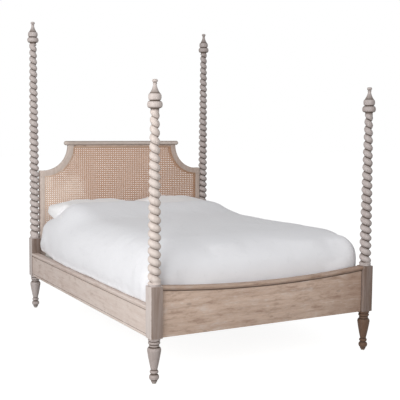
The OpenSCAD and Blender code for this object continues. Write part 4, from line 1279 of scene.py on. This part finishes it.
TUCK_X = {"left": (0.50, 0.66), "right": (0.46, 0.62)}
TUCK_Y = (0.60, 0.86)
FALL_X = (0.50, 0.76)
FALL_Y = (0.8, 0.4)
FALL_Z = (0.54, 0.74)
FOOT_FALL_Y = (-0.74, -1.02)
FOOT_TUCK_Y = (-0.90, -0.97)
FOOT_TUCK_Z = (0.58, 0.45)
SIDE_X = (0.62, 0.72)
FLARE_Y = (0.95, 0.55)
FLARE_Z = (0.66, 0.48)
PINCH_Y = (0.3, 0.9)
PINCH_EASED_Z = (0.45, 0.62)
PINCH_EASED = 0.35
FOLD_X = (-0.06, 0.12)
FOLD_Y = (0.5, 0.9)
LIFT_X = (0.05, -0.1)
LIFT_Y = (0.6, 0.9)
STRETCH_X = (0.55, 0.68)
STRETCH_Y = (0.70, 0.92)
HEM_Z = (0.54, 0.46)
HEM_HELD = 0.02


def tucked(place, mattress_top):
    """Where a point of the cover lies, drawn down beside the pillows and up to the headboard."""
    x, y, z = place
    name = "right" if x > 0 else "left"
    beside = smooth_step(*TUCK_X[name], abs(x)) * smooth_step(*TUCK_Y, y)
    if z > mattress_top:
        z = mattress_top + (z - mattress_top) * (1 - TUCK * beside)
    outer = smooth_step(*FALL_X, abs(x))
    fall = EDGE_FALL[name] * outer * smooth_step(*FALL_Y, y)
    foot_fall = FOOT_FALL * (1 - 0.5 * outer) * smooth_step(*FOOT_FALL_Y, y)
    z -= (fall + foot_fall) * smooth_step(*FALL_Z, z)
    y += FOOT_TUCK * smooth_step(*FOOT_TUCK_Y, y) * smooth_step(*FOOT_TUCK_Z, z)
    flare = FLARE[name] * smooth_step(*FLARE_Z, z) * smooth_step(*FLARE_Y, y)
    pinch = HEAD_PINCH * smooth_step(*PINCH_Y, y) * (1 - PINCH_EASED * smooth_step(*PINCH_EASED_Z, z))
    folded = smooth_step(*FOLD_X, x) * smooth_step(*FOLD_Y, y)
    if z > mattress_top:
        z += LEFT_LIFT * smooth_step(*LIFT_X, x) * smooth_step(*LIFT_Y, y) - RIGHT_DROP * folded
    y += HEAD_STRETCH * smooth_step(*STRETCH_X, abs(x)) * smooth_step(*STRETCH_Y, y) - PULL_BACK * folded
    x += (flare - pinch) * smooth_step(*SIDE_X, abs(x)) * math.copysign(1, x)
    return Vector((x, y, z))


def cover():
    """Puffy cover drawn over mattress and pillows, blown up from the frame's own shape."""
    form = own_shape("duvet")
    bmesh.ops.join_triangles(form, faces=form.faces, angle_face_threshold=math.radians(50),
                             angle_shape_threshold=math.radians(70))
    bmesh.ops.recalc_face_normals(form, faces=form.faces)
    made = shown("cover", form, DUVET_COTTON, "white_cotton", "duvet")
    finer = made.modifiers.new("finer", "SUBSURF")
    finer.levels = 2
    take(made, evaluated(made))
    mattress_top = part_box("mattress")[1].z
    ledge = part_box("rail_cap_left")[1].z
    outwards = [vert.normal.copy() for vert in made.data.vertices]
    for vert, out in zip(made.data.vertices, outwards):
        hem_lump = HEM_LUMP * smooth_step(*HEM_Z, vert.co.z) * noise.noise(vert.co * HEM_LUMP_SCALE)
        lump = LUMP * noise.noise(vert.co * LUMP_SCALE) + hem_lump + COVER_PUSH
        vert.co = tucked(vert.co + out * lump * MM, mattress_top)

    def held(place):
        return 1.0 if place.z < ledge + HEM_HELD else 0.0

    swell(made, COVER_BLOW, COVER_REACH, COVER_SPARE, 0.6, held)
    for vert in made.data.vertices:
        vert.co.z = max(vert.co.z, ledge + 0.3 * MM)
    subdivided(made)


cover()

# Floor, lights and background

FLOOR_SIZE = 60.0
FLOOR_GLOW = 0.90
WORLD_LIGHT = 0.43
SEEN_BY = ("Is Camera Ray", "Is Glossy Ray", "Is Transmission Ray")


def floor_finish():
    """Pale floor that goes white to the camera and keeps the bed's own shadow."""
    finish = Finish("floor_finish")
    speckle = finish.noise(finish.place, 3.0, 3.0)
    shade = finish.mix(paint(0.46, 0.45, 0.44), paint(0.44, 0.43, 0.42), speckle)
    finish.set(Base_Color=shade, Roughness=0.9)
    path = finish.tree.nodes.new("ShaderNodeLightPath")
    camera, glossy, glass = [Wire(finish, path.outputs[name]) for name in SEEN_BY]
    direct = finish.node("ShaderNodeMath", {"operation": "MINIMUM"}, {0: camera + glossy + glass, 1: 1.0})
    matt = finish.node("ShaderNodeBsdfDiffuse", None, {"Color": paint(0.34, 0.34, 0.34)})
    glow = finish.node("ShaderNodeEmission", None, {"Color": paint(1, 1, 1), "Strength": FLOOR_GLOW})
    pale = finish.node("ShaderNodeAddShader", None, {0: matt, 1: glow})
    plain = Wire(finish, finish.shader.outputs[0])
    mixed = finish.node("ShaderNodeMixShader", None, {0: direct, 1: plain, 2: pale})
    finish.tree.links.new(mixed.socket, finish.tree.nodes["Material Output"].inputs["Surface"])
    return finish.material


def lay_floor():
    form = bmesh.new()
    bmesh.ops.create_grid(form, x_segments=1, y_segments=1, size=FLOOR_SIZE / 2)
    mesh = bpy.data.meshes.new("floor")
    form.to_mesh(mesh)
    form.free()
    mesh.materials.append(floor_finish())
    floor = bpy.data.objects.new("floor", mesh)
    bpy.context.scene.collection.objects.link(floor)


def hang_light(name, place, aim, size, power):
    data = bpy.data.lights.new(name, "AREA")
    data.shape = "RECTANGLE"
    data.size = size[0]
    data.size_y = size[1]
    data.energy = power
    lamp = bpy.data.objects.new(name, data)
    lamp.matrix_world = (Matrix.Translation(place)
                         @ (Vector(aim) - Vector(place)).to_track_quat("-Z", "Y").to_matrix().to_4x4())
    bpy.context.scene.collection.objects.link(lamp)


def light_world():
    """White world, dim as a light, but full white where the camera or a mirror sees it."""
    world = bpy.data.worlds.new("world")
    world.use_nodes = True
    bpy.context.scene.world = world
    nodes = world.node_tree.nodes
    links = world.node_tree.links
    path = nodes.new("ShaderNodeLightPath")
    direct = path.outputs[SEEN_BY[0]]
    for name in SEEN_BY[1:]:
        either = nodes.new("ShaderNodeMath")
        either.operation = "MAXIMUM"
        links.new(direct, either.inputs[0])
        links.new(path.outputs[name], either.inputs[1])
        direct = either.outputs[0]
    chosen = nodes.new("ShaderNodeMixShader")
    links.new(direct, chosen.inputs[0])
    backs = ((nodes["Background"], WORLD_LIGHT), (nodes.new("ShaderNodeBackground"), 1.0))
    for number, (back, strength) in enumerate(backs):
        back.inputs["Color"].default_value = (1, 1, 1, 1)
        back.inputs["Strength"].default_value = strength
        links.new(back.outputs[0], chosen.inputs[number + 1])
    links.new(chosen.outputs[0], nodes["World Output"].inputs["Surface"])


lay_floor()
hang_light("window_left", (-5.2, -3.6, 2.6), (0, 0, 0.6), (4.6, 3.2), 250)
hang_light("front_fill", (-0.6, -6.5, 2.4), (0, 0, 0.7), (3.5, 2.5), 35)
light_world()
bpy.context.scene.view_settings.view_transform = "Standard"
